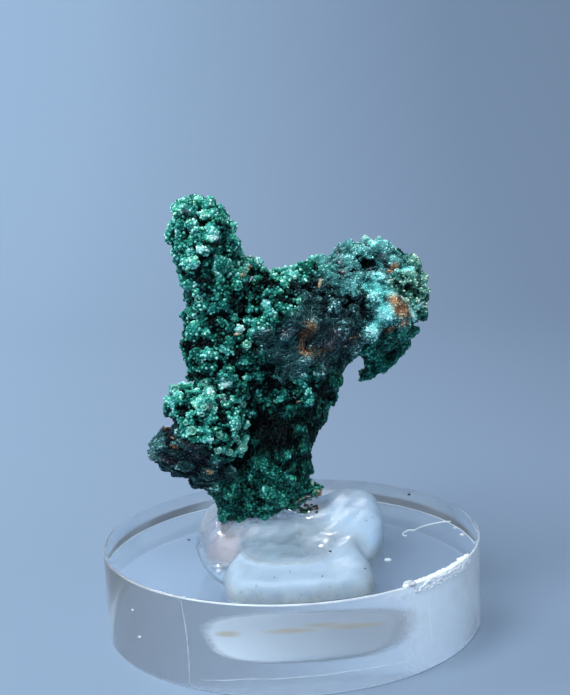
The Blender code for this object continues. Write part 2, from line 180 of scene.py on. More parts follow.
# What each habit grows. Its knobs: the range of their radius and their spacing in millimetres, how
# long they are for their width, how many small lumps ride on each, the share of their height that
# stands proud, how far the bare rock lies below them in millimetres, and the range of their tone.
# The grains on them: the gap between grains and the range of their radius in millimetres, how long
# they are for their width, and how much their tone varies. Then how much darker the habit is than
# its knobs' tones say, and how much paler its peaks are painted than its hollows: painted light on
# the peaks and painted shade in the hollows.
Growth = namedtuple("Growth", (
    "radius", "spacing", "length", "lumps", "proud", "sink", "tone",
    "gap", "grain_radius", "grain_length", "variety", "shade", "relief",
))
HABITS = {
    "knobs": Growth(
        (0.40, 0.76), 0.92, 1.35, 7, 0.40, 0.56, (0.22, 0.52),
        0.27, (0.085, 0.170), 1.5, 0.58, 0.16, 0.24,
    ),
    "torso": Growth(
        (0.40, 0.76), 0.96, 1.35, 7, 0.40, 0.60, (0.08, 0.40),
        0.28, (0.085, 0.170), 1.5, 0.52, 0.27, 0.24,
    ),
    "beads": Growth(
        (0.26, 0.46), 0.62, 1.20, 4, 0.45, 0.34, (0.20, 0.75),
        0.27, (0.080, 0.160), 1.3, 0.40, 0.27, 0.28,
    ),
    "slate": Growth(
        (0.10, 0.20), 0.50, 3.00, 0, 0.35, 0.06, (0.20, 0.70),
        0.34, (0.050, 0.110), 2.2, 0.45, 0.02, 0.28,
    ),
    "small_knobs": Growth(
        (0.28, 0.52), 0.74, 1.60, 5, 0.32, 0.30, (0.05, 0.50),
        0.28, (0.080, 0.150), 1.8, 0.35, 0.18, 0.22,
    ),
    "bramble": Growth(
        (0.24, 0.42), 0.66, 1.40, 5, 0.34, 0.20, (0.25, 0.62),
        0.25, (0.060, 0.125), 1.6, 0.60, 0.04, 0.26,
    ),
    "column": Growth(
        (0.28, 0.50), 0.72, 3.00, 1, 0.20, 0.16, (0.00, 0.16),
        0.36, (0.060, 0.110), 3.0, 0.08, 0.03, 0.14,
    ),
    "foot": Growth(
        (0.20, 0.40), 0.56, 1.60, 3, 0.24, 0.10, (0.18, 0.32),
        0.28, (0.075, 0.140), 1.6, 0.16, -0.01, 0.12,
    ),
    "shelf": Growth(
        (0.22, 0.46), 0.60, 3.00, 1, 0.25, 0.16, (0.15, 0.70),
        0.32, (0.060, 0.120), 2.4, 0.35, 0.20, 0.24,
    ),
    "crust": Growth(
        (0.15, 0.30), 0.50, 1.60, 2, 0.20, 0.06, (0.40, 0.70),
        0.215, (0.050, 0.105), 1.6, 0.50, 0.24, 0.26,
    ),
    "craggy": Growth(
        (0.20, 0.46), 0.60, 1.60, 4, 0.34, 0.34, (0.05, 0.50),
        0.28, (0.065, 0.130), 1.8, 0.45, 0.10, 0.34,
    ),
    "folds": Growth(
        (0.16, 0.32), 0.56, 4.00, 1, 0.24, 0.08, (0.06, 0.26),
        0.36, (0.070, 0.130), 2.6, 0.14, -0.13, 0.16,
    ),
}
# The front knobs' tones are evened out: this, plus this share of them.
FRONT_TONE = (0.13, 0.60)
FRONT_PROUD = 0.45  # the share of a front knob's height that stands proud
FRONT_TURN = 0.4  # how far a front knob turns to the camera
# The half size, in frame pixels, from which a front knob is large, and how many lumps ride on a
# large knob and on a small one.
LARGE_KNOB, LARGE_LUMPS, SMALL_LUMPS = 5, 9, 4
LIE_SPREAD = 0.35  # how far a long knob may lie from its habit's way
LUMP_SIZE, LUMP_LENGTH = (0.28, 0.50), (0.8, 1.4)  # for the knob's size, and for the lump's own
LUMP_OUT = 0.84  # how far out of the knob's middle its lumps sit, as a share
CROWD_ROOM = 0.80  # the room that a front knob keeps free, as a share of its radius
# The way in which a habit's long knobs and grains lie; the others lie any way.
LIES = {
    "column": Vector((0.1, 0.0, 1.0)),
    "shelf": Vector((0.9, 0.1, -0.35)),
    "folds": Vector((1.0, 0.0, 0.55)),
}
# The fine strands that lie on some habits: how many, the way they run, and the range of their
# tone.
STRANDS = {
    "slate": (2600, Vector((0.90, 0.0, 0.38)), (0.06, 0.66)),
    "craggy": (500, Vector((0.6, 0.0, 0.7)), (0.00, 0.60)),
    "shelf": (700, Vector((0.9, 0.1, -0.35)), (0.00, 0.42)),
    "column": (900, Vector((0.1, 0.0, 1.0)), (0.02, 0.22)),
    "folds": (900, Vector((1.0, 0.0, 0.55)), (0.02, 0.30)),
    "foot": (400, Vector((0.1, 0.0, 1.0)), (0.00, 0.34)),
}
STRAND_STEP, STRAND_RADIUS = 0.20 * MM, 0.042 * MM
STRAND_TAPER = (0.5, 1.0, 1.0, 1.0, 0.9, 0.35)  # how thick a strand is at each step

# Where the surface is drawn to, seen from the front: across and down the frame and how far
# round it, then how far to the right and down, all in frame pixels.
DRAWS = (
    (212, 200, 11, 0, 6), (240, 226, 8, 4, 0), (166, 214, 8, -3, 0), (164, 235, 7, 3, 0),
    (168, 261, 12, 9, 0), (178, 294, 12, 8, 0), (178, 327, 7, -4, 0), (180, 352, 8, -5, 0),
    (164, 421, 10, -7, -6), (153, 463, 8, -5, 5), (190, 486, 11, 0, -7), (170, 474, 6, 0, -4),
    (206, 500, 7, 4, -4), (230, 512, 8, -8, 6), (250, 522, 9, 0, -3), (284, 519, 12, 0, -6),
    (316, 487, 9, 5, 0),
    (318, 442, 7, -5, 0), (330, 417, 7, -3, 0), (340, 386, 10, 4, 0), (352, 354, 9, 0, 5),
    (363, 376, 6, -3, 4), (384, 371, 6, 0, 4), (404, 349, 7, 4, 4), (421, 325, 8, -8, 0),
    (427, 268, 8, -4, 3), (407, 253, 9, 0, 6), (380, 238, 6, 0, -4), (336, 246, 9, -4, -5),
    (308, 257, 7, 0, -4), (258, 260, 8, 2, -2),
)

# ---- stone: stains, painted glints, pits and chips -------------------------------------------
# Stains, and pale patches that are partly painted glints: across and down the frame, half width
# and half height in frame pixels, and tilt in degrees.
STAINS = {
    "turquoise": (
        (369, 287, 9, 5, -20), (380, 291, 12, 6, -15), (377, 298, 9, 4, -15),
        (387, 309, 8, 7, -40), (384, 318, 11, 6, 15), (374, 328, 12, 6, 20), (388, 325, 7, 4, 0),
        (405, 270, 9, 3, 15), (372, 244, 4, 6, 0), (412, 312, 2, 8, 25), (417, 306, 3, 3, 0),
        (380, 276, 7, 3, 0),
    ),
    "teal": (
        (340, 282, 6, 4, 0), (347, 256, 8, 3, 0), (334, 309, 4, 4, 0), (336, 272, 4, 3, 0),
        (396, 262, 3, 5, 30), (266, 302, 4, 6, 0), (306, 362, 6, 3, 10), (296, 366, 7, 3, -10),
        (303, 376, 5, 3, -20), (339, 346, 3, 1.5, 0), (360, 259, 5, 3, 0), (400, 256, 5, 2, 0),
        (289, 352, 4, 10, -10), (288, 336, 5, 8, -20), (327, 260, 4, 4, 0), (275, 345, 8, 6, 20),
    ),
    "rust": (
        (395, 268, 5, 3.5, 55), (390, 272, 4, 2.5, 30), (395, 301, 9, 6, -35),
        (402, 309, 11, 7.5, -45), (405, 323, 5, 4.5, -20), (390, 329, 6, 2.5, 25),
        (307, 327, 6, 5, -30), (303, 334, 5, 4, 0), (308, 352, 11, 3, 0), (300, 349, 3, 5, 0),
        (321, 351, 8, 1.5, 0), (319, 284, 1.5, 4, 0), (243, 274, 3, 2, 0), (249, 268, 2, 2, 0),
        (320, 492, 3, 2.5, 0), (175, 447, 4, 1.0, -20), (210, 472, 3, 1.2, -20),
        (352, 339, 5, 1, 10), (165, 428, 2, 1, 0),
    ),
    "violet": (
        (339, 252, 2.5, 9, 0), (340, 262, 3, 5, 10), (366, 246, 2.5, 6, 5), (342, 274, 6, 3, -5),
        (383, 258, 4, 4, -40), (388, 268, 3, 5, 10), (384, 330, 4, 3, 30), (330, 344, 12, 3, 8),
        (352, 341, 9, 1.8, 12), (332, 334, 8, 4, 0), (304, 344, 2, 5, 0), (285, 333, 8, 4, 0),
        (189, 445, 13, 3, -22), (168, 460, 8, 4, -15), (198, 458, 9, 3, -25), (152, 456, 3, 4, 0),
        (211, 406, 6, 3, 10), (192, 232, 5, 2.5, 0), (187, 213, 5, 3, 0), (222, 399, 7, 2.5, 10),
    ),
    # Pale aqua knobs, and a few painted glints on bright beads and tips: painted highlight.
    "pale": (
        (210, 391, 5, 5, 0), (225, 384, 6, 4.5, 0), (372, 242, 3, 3.5, 0), (366, 235, 3, 1.5, 0),
        (240, 329, 2.5, 2.5, 0), (200, 249, 9, 2, 0), (214, 239, 6, 2.5, -20), (238, 427, 3, 3, 0),
    ),
}
SPOT_SOFTNESS, SPOT_FRAY = 0.5, 0.35  # how soft and how ragged the edges of stains and pits are
FRAYS = ((0.55 * MM, 41), (0.22 * MM, 42))  # how wide the rags of those edges are, and a seed
# How deep a spot and a pit's shade reach into the stone, for their size, and the least size, in
# frame pixels, that counts for this.
SPOT_DEEP, PIT_DEEP, LEAST_DEEP = 1.5, 4.5, 6
# How much paler these stains and painted glints make the surface, and how much painted shade
# darkens the pits.
STAIN_LIFTS = {"turquoise": 0.36, "teal": 0.14, "pale": 0.22, "rust": 0.16}
PIT_SHADE = 0.60
HOLLOW_DEPTH = 0.9  # millimetres: no knobs grow in pits this deep
# Pits: across and down the frame, half width and half height in frame pixels, tilt in degrees, and
# how far the pit goes in, in millimetres.
PITS = (
    (368, 266, 11, 6, -15, 0.9), (361, 258, 6, 5, -40, 0.5), (354, 270, 5, 4, 0, 0.9),
    (350, 302, 5, 9, 0, 1.0), (362, 306, 9, 4, -30, 1.1), (366, 315, 6, 5, 0, 0.9),
    (398, 284, 6, 2.5, -30, 0.8), (377, 276, 5, 1.5, -10, 0.6),
    (327, 287, 10, 2.5, 0, 0.9), (270, 283, 12, 3, -10, 0.8), (230, 243, 8, 4, -10, 0.7),
    (213, 244, 9, 2.5, 0, 0.6), (222, 225, 10, 2.5, -20, 0.8), (242, 308, 3, 7, 0, 0.8),
    (272, 333, 9, 2, 0, 0.8), (168, 429, 6, 5, 0, 0.9), (270, 430, 9, 14, 0, 0.5),
    (285, 437, 8, 10, 0, 0.4), (232, 409, 3, 4, 0, 0.4), (205, 280, 7, 3, 0, 0.7),
    (255, 347, 4, 5, 0, 0.6), (412, 288, 8, 2.5, -25, 0.5), (205, 344, 10, 2.5, 0, 0.7),
    (307, 343, 3, 6, 10, 1.2), (200, 375, 14, 3, 0, 0.7), (212, 322, 5, 5, 0, 0.5),
    (400, 292, 7, 2, -25, 0.5), (239, 352, 5, 3, 0, 0.6), (232, 300, 3, 6, 0, 0.6),
    (187, 345, 6, 3, 0, 0.5), (247, 285, 5, 3, 0, 0.6), (300, 290, 8, 3, 10, 0.5),
)
CHIP_TURN, CHIP_SPREAD = 0.8, 0.3  # how far a chip turns to the camera, and any way
# Loose chips and flakes: across and down the frame, half length, half width and half thickness
# in frame pixels, tilt in degrees, and colour.
TAN, CREAM, ROSE = (0.42, 0.25, 0.11), (0.62, 0.55, 0.36), (0.62, 0.45, 0.44)
ORANGE, LEAF, BROWN = (0.45, 0.13, 0.04), (0.010, 0.19, 0.09), (0.09, 0.065, 0.055)
AQUA, GREY, BLUE = (0.45, 0.85, 0.80), (0.34, 0.42, 0.44), (0.02, 0.04, 0.07)
UMBER, MOSS = (0.16, 0.14, 0.12), (0.03, 0.22, 0.13)
CHIPS = (
    (320, 284, 5, 1.7, 1.2, 80, CREAM), (241, 276, 2.2, 1.6, 1.2, 20, TAN),
    (249, 269, 3.0, 1.3, 1.0, 60, TAN), (251, 257, 2.0, 1.0, 0.8, 0, TAN),
    (238, 334, 4.5, 1.4, 1.2, 8, CREAM), (240, 329, 3.0, 2.4, 1.6, 20, AQUA),
    (256, 336, 4.0, 1.2, 0.8, 5, GREY), (266, 331, 5.0, 1.1, 0.8, 15, GREY),
    # The thin rose chips along this arc are a flake's edge, painted pale as its bright edge line:
    # the flake's colour and a painted highlight.
    (296.5, 502.5, 2.6, 0.8, 0.8, 48, ROSE), (300, 499.6, 2.6, 0.8, 0.8, 34, ROSE),
    (304, 497.4, 2.6, 0.8, 0.8, 20, ROSE), (308.5, 496.4, 2.8, 0.8, 0.8, 4, ROSE),
    (313, 496.6, 2.8, 0.7, 0.8, -8, ROSE), (317.5, 497.6, 2.8, 0.6, 0.8, -14, GREY),
    (300, 502, 3.4, 1.1, 1.0, 36, BROWN), (305, 499.4, 3.2, 1.6, 1.0, 22, BROWN),
    (310, 500, 2.6, 1.2, 1.0, -20, GREY), (317, 509, 1.8, 3.6, 1.6, 10, UMBER),
    (324, 487, 3.4, 1.1, 1.0, 30, BLUE), (316, 480, 1.8, 2.2, 1.4, 0, BLUE),
    (312, 482, 1.8, 4.0, 1.2, 10, AQUA), (320, 494, 2.8, 1.8, 1.2, 20, ORANGE),
    (298, 508, 8.0, 2.8, 1.4, -12, LEAF), (306, 511, 6.5, 3.0, 1.4, -14, LEAF),
    (313, 489, 5.0, 1.2, 1.0, 15, LEAF), (302, 512.5, 6.0, 1.6, 1.0, -4, MOSS),
    (293, 507, 6.0, 2.4, 1.2, -22, MOSS), (306.5, 505.5, 3.4, 2.2, 1.6, -30, UMBER),
    (310.5, 509, 2.8, 2.0, 1.6, -35, UMBER), (315, 506.5, 3.0, 2.2, 1.6, 30, UMBER),
    (316.5, 512.5, 2.4, 1.8, 1.4, 60, BROWN), (308.5, 507.5, 1.6, 0.8, 2.0, 20, CREAM),
    (305, 503.6, 1.4, 0.8, 1.8, -20, CREAM), (314.6, 509.4, 1.2, 0.9, 2.0, 50, CREAM),
    (312, 505, 2.2, 1.0, 1.4, -50, BROWN), (305, 501, 2.2, 1.6, 1.2, 30, GREY),
    (322, 485, 2.6, 1.4, 1.2, -20, LEAF), (203, 348, 1.6, 3.4, 1.2, 0, AQUA),
    (202, 361, 1.4, 3.4, 1.2, 5, AQUA), (300, 401, 4.0, 1.0, 0.8, 30, CREAM),
    (294, 397, 3.0, 1.0, 0.8, -30, GREY), (421, 304, 4.5, 1.4, 1.0, 40, AQUA),
    (343, 272, 1.8, 1.2, 1.0, 0, ROSE), (345, 346, 3.0, 1.2, 0.8, 15, ROSE),
    (173, 438, 3.0, 1.2, 0.8, -20, TAN), (366, 235, 3.0, 1.2, 1.0, 10, AQUA),
    (380, 232, 1.8, 1.4, 1.0, 0, AQUA),
)
# Pale rings painted on the beads as their glints, a painted highlight: across and down the frame,
# and their radius and thickness in frame pixels.
RING_GLINTS = (
    (192, 431, 4.2, 2.4), (219, 435, 2.8, 2.2), (236, 438, 3.0, 2.4), (218, 451, 2.8, 2.2),
    (229, 452, 3.4, 2.2), (186, 423, 2.2, 2.0), (175, 389, 3.6, 1.8), (205, 383, 3.4, 1.8),
    (247, 345, 3.6, 1.8), (204, 408, 2.4, 2.0), (243, 404, 2.6, 2.0), (199, 299, 3.6, 1.6),
    (238, 427, 2.2, 2.0), (202, 414, 2.4, 1.8), (243, 448, 4.0, 2.0),
)
# The painted glints' colour, and the share of it that fills them
RING_GLINT_COLOUR, RING_GLINT_SHARE = (0.22, 0.66, 0.52), 0.55
CORE_VOXEL = 0.25 * MM
STONE_VOXEL = 0.115 * MM
STONE_TRIANGLES = 140_000
# How wide the skin's swells are and how high, in millimetres, and a seed.
ROUGHENING = ((0.90, 0.16, 61), (0.38, 0.10, 62))
# How wide and high the wobbles of a fleck are, for its size, and a seed.
WOBBLES = ((0.9, 0.22, 51), (0.35, 0.10, 52))
FRONT_SEED, SCATTER_SEED, GRAIN_SEED, STRAND_SEED, CHIP_SEED = 11, 5, 7, 17, 23
BALL_DETAIL, LUMP_DETAIL, GRAIN_DETAIL = 2, 1, 1  # how often an icosahedron is divided for each

# ---- stone: colours --------------------------------------------------------------------------
# The bare stone between the grains is painted darker than they are: painted shade in the gaps.
CRUST_GAP_SHADE = 0.10  # than the grains that lie on it
# The tips of knobs and grains are painted paler: painted highlight.
TIP_LIGHT = 0.14  # how much paler the tips of knobs and grains are
TIP_HEIGHT, SWELL_HEIGHT = 0.10 * MM, 0.30 * MM  # how high a full tip and a full swell stand
TIP_ROUNDS, SWELL_ROUNDS = 10, 50  # how far the surface is smoothed to tell them
CRUST_GLOSS, GRAIN_GLOSS = 0.05, 0.22
# Ramps from dark to light: (tone, colour).
GREENS = (
    (0.00, (0.0001, 0.002, 0.003)), (0.12, (0.0006, 0.018, 0.018)), (0.28, (0.003, 0.070, 0.062)),
    (0.50, (0.017, 0.21, 0.18)), (0.70, (0.075, 0.44, 0.39)), (0.86, (0.21, 0.68, 0.63)),
    (1.00, (0.52, 0.93, 0.89)),
)
SLATES = (
    (0.00, (0.0004, 0.003, 0.006)), (0.18, (0.004, 0.014, 0.020)), (0.38, (0.009, 0.030, 0.040)),
    (0.58, (0.020, 0.060, 0.073)), (0.76, (0.045, 0.12, 0.14)), (0.90, (0.11, 0.28, 0.31)),
    (1.00, (0.34, 0.62, 0.66)),
)
VELVETS = (
    (0.00, (0.0005, 0.010, 0.013)), (0.15, (0.008, 0.062, 0.066)), (0.32, (0.036, 0.14, 0.155)),
    (0.52, (0.075, 0.24, 0.265)), (0.72, (0.12, 0.38, 0.41)), (0.88, (0.24, 0.66, 0.68)),
    (1.00, (0.52, 0.98, 0.98)),
)
TURQUOISES = (
    (0.00, (0.003, 0.040, 0.045)), (0.20, (0.035, 0.24, 0.24)), (0.42, (0.10, 0.56, 0.55)),
    (0.65, (0.22, 0.90, 0.88)), (0.90, (0.58, 1.0, 1.0)),
)
OLIVES = (
    (0.00, (0.002, 0.010, 0.008)), (0.25, (0.012, 0.070, 0.058)), (0.50, (0.045, 0.18, 0.15)),
    (0.75, (0.16, 0.38, 0.32)), (1.00, (0.62, 0.76, 0.60)),
)
RUSTS = (
    (0.00, (0.020, 0.010, 0.004)), (0.25, (0.13, 0.050, 0.016)), (0.50, (0.32, 0.14, 0.05)),
    (0.75, (0.50, 0.27, 0.12)), (1.00, (0.72, 0.52, 0.32)),
)
VIOLETS = (
    (0.00, (0.005, 0.004, 0.008)), (0.30, (0.035, 0.026, 0.045)), (0.60, (0.10, 0.078, 0.115)),
    (1.00, (0.42, 0.36, 0.46)),
)
PALES = (
    (0.00, (0.02, 0.16, 0.15)), (0.35, (0.22, 0.70, 0.66)), (0.70, (0.55, 0.98, 0.94)),
    (1.00, (0.85, 1.0, 1.0)),
)
EMERALD = (0.90, 1.0, 0.76)  # patches of the green are multiplied by it
# The colours other than green: how strong each is, its least share where it is patchy, and its
# ramp.
COLOURS = {
    "slaty": (0.90, 1.0, SLATES), "velvet": (0.75, 1.0, VELVETS), "olive": (0.85, 1.0, OLIVES),
    "teal": (0.90, 0.70, VELVETS), "turquoise": (1.0, 0.55, TURQUOISES),
    "pale": (0.80, 0.60, PALES), "violet": (0.85, 0.35, VIOLETS), "rust": (1.0, 0.80, RUSTS),
}
# The colours that go with habits; the other ones are those of the stains.
KINDS = {"slaty": ("slate", "craggy", "shelf"), "velvet": ("crust",), "olive": ("bramble",)}

# ---- hot glue --------------------------------------------------------------------------------
# The glue lies in flows that run into one another. For each: the middle's x and y, the half
# sizes along X and Y, the turn in degrees, how high its top stands on the base, how much higher
# its back is than its front, for its height, how wide its rounded edge is, how square its
# outline is (2 is an ellipse), how cloudy it is and how rosy.
GLUE_FLOWS = {
    "pad": (0.55, -12.6, 6.30, 5.0, 2, 1.75, 0.05, 1.3, 3.2, 0.84, 0.0),
    "pool": (-0.30, -8.4, 4.55, 5.6, 0, 2.35, 0.04, 0.8, 2.4, 0.14, 0.0),
    "pool_right": (3.25, -7.4, 3.05, 5.0, 0, 2.45, 0.10, 1.0, 2.4, 0.64, 0.0),
    "left_lobe": (-5.00, -4.2, 2.95, 4.9, 8, 2.50, 0.05, 1.5, 2.8, 0.24, 1.0),
    "skirt": (-4.70, -5.2, 3.70, 9.6, 11.5, 0.50, 0.00, 1.4, 2.2, 0.10, 0.1),
    "left_back": (-6.00, 1.3, 2.70, 3.2, 0, 2.90, 0.00, 2.4, 2.2, 0.50, 0.3),
    "seat": (-1.80, -3.0, 5.20, 5.2, 0, 2.90, 0.00, 2.8, 2.3, 0.24, 0.0),
    "back_fill": (0.60, 2.4, 6.20, 3.9, 0, 2.40, 0.00, 2.4, 2.2, 0.70, 0.0),
    "right_lobe": (4.35, -2.8, 3.60, 7.0, 3, 3.70, 0.18, 2.6, 2.7, 0.92, 0.0),
}
FLOW_BLEND = 0.80 * MM  # how softly the flows run into one another
RIGHT_LEAN = 0.42  # how far the lobe on the right leans outwards, for its height
GLUE_RIM, GLUE_RIM_EDGE = 17.25 * MM, 0.5 * MM  # where it stops, off the base's axis, and how soft
GLUE_DEPTH = 1 * MM  # how far its body reaches into the base before it is cut level
GLUE_THINNEST = 0.02 * MM
FLOW_MEETING = 0.20 * MM  # over how much height one flow's colour gives way to another's
GLUE_FOOT_SPAN = (1.8 * MM, 0.4 * MM)  # above the base: where the greyer, dusty foot starts and is full
GLUE_X, GLUE_Y = (-10.5 * MM, 10.0 * MM), (-18.0 * MM, 8.0 * MM)  # it lies within these
GLUE_STEP = 0.155 * MM

# ---- acrylic base ----------------------------------------------------------------------------
BASE_RADIUS = 17.5 * MM
BASE_THICKNESS = 8 * MM
BASE_BEVEL = 0.16 * MM
DOT_HALF = (6.3 * MM, 7.0 * MM)
DOT_SQUARE = 3.2  # 2 is round
DOT_HEIGHT = 0.03 * MM
DOT_CENTRE = (0.95 * MM, 0.3 * MM)
# The stains on the dot: the middle and the half sizes, along X and Y in millimetres.
DOT_STAINS = (
    (-4.0, 1.8, 0.6, 0.7), (-0.2, 2.2, 1.3, 0.6), (3.4, 2.6, 1.4, 0.6), (1.6, 3.4, 0.8, 0.5),
)
CONTACT = 0.04 * MM  # the glue and the base share this much, so that light passes between them
# The wall's haze at the right also paints the bright reflection there: haze and painted reflection.
WALL_VEIL, WALL_HAZE = 0.18, 0.82  # how milky the wall is at the right: at first, and at its end
BURR_SPAN, BURR_LUMPS, BURR_SEED = (-55.0, -27.0), 480, 31  # the span in degrees round the rim
BURR_ON_TOP = 0.36  # the share that sits on the rim, and not on the wall below it
BURR_VOXEL = 0.055 * MM
# The burr's large blobs: degrees round the rim, and radius in millimetres.
BURR_BLOBS = ((-57.5, 0.20), (-56.0, 0.28), (-54.6, 0.22), (-53.2, 0.18), (-40.0, 0.14))
FIBRE_RADIUS = 0.045 * MM
FIBRE = (  # x and y on the base's top, in millimetres
    (10.74, -2.20), (10.26, -2.30), (10.30, -1.40), (11.00, -0.60), (11.50, -0.90), (11.90, -0.15),
    (13.10, 0.70), (14.40, 1.30), (15.40, 1.20),
)
# Marks on the wall: half their width in millimetres, and the places they run through, as degrees
# round the base and heights in millimetres.
WALL_MARKS = {
    "wall_scratch": (0.035, (
        (-122.2, 7.8), (-121.6, 6.4), (-121.0, 4.8), (-120.8, 3.2), (-120.8, 1.6), (-121.0, 0.3),
    )),
    "wall_scrape": (0.018, (
        (-117.5, 0.95), (-110.0, 1.25), (-102.7, 1.56), (-96.0, 1.62), (-89.2, 1.74),
        (-82.0, 1.76), (-75.7, 1.82), (-68.0, 1.72), (-60.6, 1.54), (-53.0, 1.44), (-45.6, 1.29),
    )),
    "wall_crack": (0.022, ((-49.8, 6.9), (-49.3, 5.6), (-49.6, 4.4), (-49.1, 3.4), (-48.8, 2.2))),
}
WHITE, DARK = (0.72, 0.82, 0.92), (0.03, 0.035, 0.04)
SPECKS = (  # x, y, z and half size in millimetres, and colour
    # The first white speck is a glue drop's glint: painted highlight.
    (8.38, -8.29, 8.02, 0.24, WHITE), (12.11, 10.15, 8.05, 0.13, DARK),
    (-9.54, -0.65, 8.02, 0.12, DARK), (15.30, -0.62, 8.02, 0.16, WHITE),
    (15.66, -2.65, 8.02, 0.20, WHITE), (9.7, -14.2, 8.02, 0.42, WHITE),
    (-13.36, -11.30, 3.18, 0.14, WHITE), (-13.88, -10.65, 5.39, 0.12, WHITE),
    (3.25, -11.6, None, 0.10, DARK), (6.0, -14.0, None, 0.07, DARK),
    (-1.5, -15.6, None, 0.06, DARK), (2.4, -16.0, None, 0.06, DARK),
    (-0.2, -14.6, None, 0.05, DARK),
)

# ---- stage -----------------------------------------------------------------------------------
# The backdrop's profile in metres: where the floor starts and ends, how far the bend reaches back
# and up, and how high the paper stands.
PAPER_FRONT, PAPER_BACK, PAPER_BEND, PAPER_TOP, PAPER_HALF_WIDTH = -0.30, 0.16, 0.24, 0.80, 0.8
# The paper is painted darker towards the right, a painted falloff of the light.
PAPER_LEFT, PAPER_RIGHT = (0.232, 0.330, 0.458), (0.165, 0.232, 0.330)
PAPER_SHADE_SPAN = (-0.06, 0.06)  # from where to where along X the paper's colour changes
ROOM_COLOUR, ROOM_STRENGTH, ROOM_SEEN = (0.60, 0.80, 1.0), 0.19, 0.52
# where each lamp is and what it points at, its width and height in metres, its power in watts,
# and whether it only glints in glossy surfaces
LAMPS = {
    "sky": ((-0.18, -0.22, 0.46), (0, 0, 0.02), 0.42, 0.42, 4.4, False),
    "glint_left": ((-0.12, -0.30, 0.40), (0, 0, 0.02), 0.10, 0.02, 0.40, True),
    "glint_right": ((0.10, -0.22, 0.42), (0, 0, 0.02), 0.08, 0.02, 0.30, True),
    "glint_back": ((-0.03, 0.24, 0.17), (0, 0, 0.01), 0.10, 0.010, 0.17, True),
    "side_fill": ((0.30, -0.22, 0.06), (0, 0, 0.004), 0.12, 0.08, 0.28, False),
    "backdrop_wash": ((-0.28, 0.10, 0.30), (-0.16, 0.38, 0.16), 0.12, 0.12, 0.80, False),
}


# ---- meshes ----------------------------------------------------------------------------------
def add_object(name, data, material=None):
    obj = bpy.data.objects.new(name, data)
    bpy.context.scene.collection.objects.link(obj)
    if material:
        data.materials.append(material)
    return obj


def mesh_from(name, bm):
    """bm as a mesh; bm goes away."""
    mesh = bpy.data.meshes.new(name)
    bm.to_mesh(mesh)
    bm.free()
    return mesh


def mesh_of(name, points, faces):
    mesh = bpy.data.meshes.new(name)
    mesh.from_pydata(points, [], faces)
    return mesh


def modified(mesh, kind, **settings):
    """mesh with a modifier of that kind applied."""
    obj = add_object("working", mesh)
    modifier = obj.modifiers.new("modifier", kind)
    for name, value in settings.items():
        setattr(modifier, name, value)
    graph = bpy.context.evaluated_depsgraph_get()
    result = bpy.data.meshes.new_from_object(obj.evaluated_get(graph))
    bpy.data.objects.remove(obj)
    return result


def fused(mesh, voxel):
    """Everything in mesh as one closed skin."""
    return modified(mesh, "REMESH", mode="VOXEL", voxel_size=voxel)


def rows_of(items, attribute, width, kind):
    """That attribute of the items, one row for each."""
    values = np.empty(len(items) * width, kind)
    items.foreach_get(attribute, values)
    return values.reshape(-1, width)


def points_of(mesh):
    return rows_of(mesh.vertices, "co", 3, np.float32).astype(float)


def normals_of(mesh):
    return rows_of(mesh.vertex_normals, "vector", 3, np.float32).astype(float)


def edges_of(mesh):
    return rows_of(mesh.edges, "vertices", 2, np.int32)


def triangles_of(mesh):
    mesh.calc_loop_triangles()
    return rows_of(mesh.loop_triangles, "vertices", 3, np.int32)


def set_points(mesh, points):
    mesh.vertices.foreach_set("co", points.astype(np.float32).ravel())
    mesh.update()


def store(mesh, name, values):
    """values as a vertex attribute that the material reads."""
    attribute = mesh.attributes.new(name, "FLOAT", "POINT")
    attribute.data.foreach_set("value", np.asarray(values, np.float32))


def store_colours(mesh, colours):
    """colours, one row a vertex, as the attribute that chip_material reads."""
    attribute = mesh.attributes.new("paint", "FLOAT_COLOR", "POINT")
    attribute.data.foreach_set("color", np.asarray(colours, np.float32).ravel())


def shade_smooth(mesh):
    mesh.polygons.foreach_set("use_smooth", np.ones(len(mesh.polygons), bool))


def dots(first, second):
    """The dot product of each row of first with that row of second."""
    return np.einsum("ij,ij->i", first, second)


def unit(vectors):
    return vectors / np.maximum(np.linalg.norm(vectors, axis=-1, keepdims=True), 1e-12)


def smoothed(values, edges, rounds, share=0.5):
    """values, one row a vertex, each moved that share of the way to its neighbours' mean."""
    values = values.copy()
    count = len(values)
    first, second = edges.T
    links = np.bincount(first, minlength=count) + np.bincount(second, minlength=count)
    links = np.maximum(links, 1)[:, None]
    for _ in range(rounds):
        total = np.empty_like(values)
        for column, row in enumerate(values.T):
            total[:, column] = np.bincount(first, weights=row[second], minlength=count)
            total[:, column] += np.bincount(second, weights=row[first], minlength=count)
        values += share * (total / links - values)
    return values


def smoothed_row(values, edges, rounds):
    """The same for one number a vertex."""
    return smoothed(values[:, None], edges, rounds)[:, 0]


def icosphere(subdivisions):
    bm = bmesh.new()
    bmesh.ops.create_icosphere(bm, subdivisions=subdivisions, radius=1.0)
    points = np.array([vert.co for vert in bm.verts])
    faces = np.array([[vert.index for vert in face.verts] for face in bm.faces])
    bm.free()
    return points, faces


def copies(solid, centres, shapes):
    """The points and faces of one copy of solid for each centre, shaped by that 3x3."""
    corners, faces = solid
    points = np.einsum("nij,vj->nvi", shapes, corners) + centres[:, None]
    firsts = np.arange(len(centres))[:, None, None] * len(corners)
    return points.reshape(-1, 3), (faces + firsts).reshape(-1, faces.shape[1])


def joined(name, parts):
    """One mesh of several (points, faces)."""
    all_points, all_faces, start = [], [], 0
    for points, faces in parts:
        all_points.append(points)
        all_faces.append(faces + start)
        start += len(points)
    return mesh_of(name, np.concatenate(all_points), np.concatenate(all_faces))


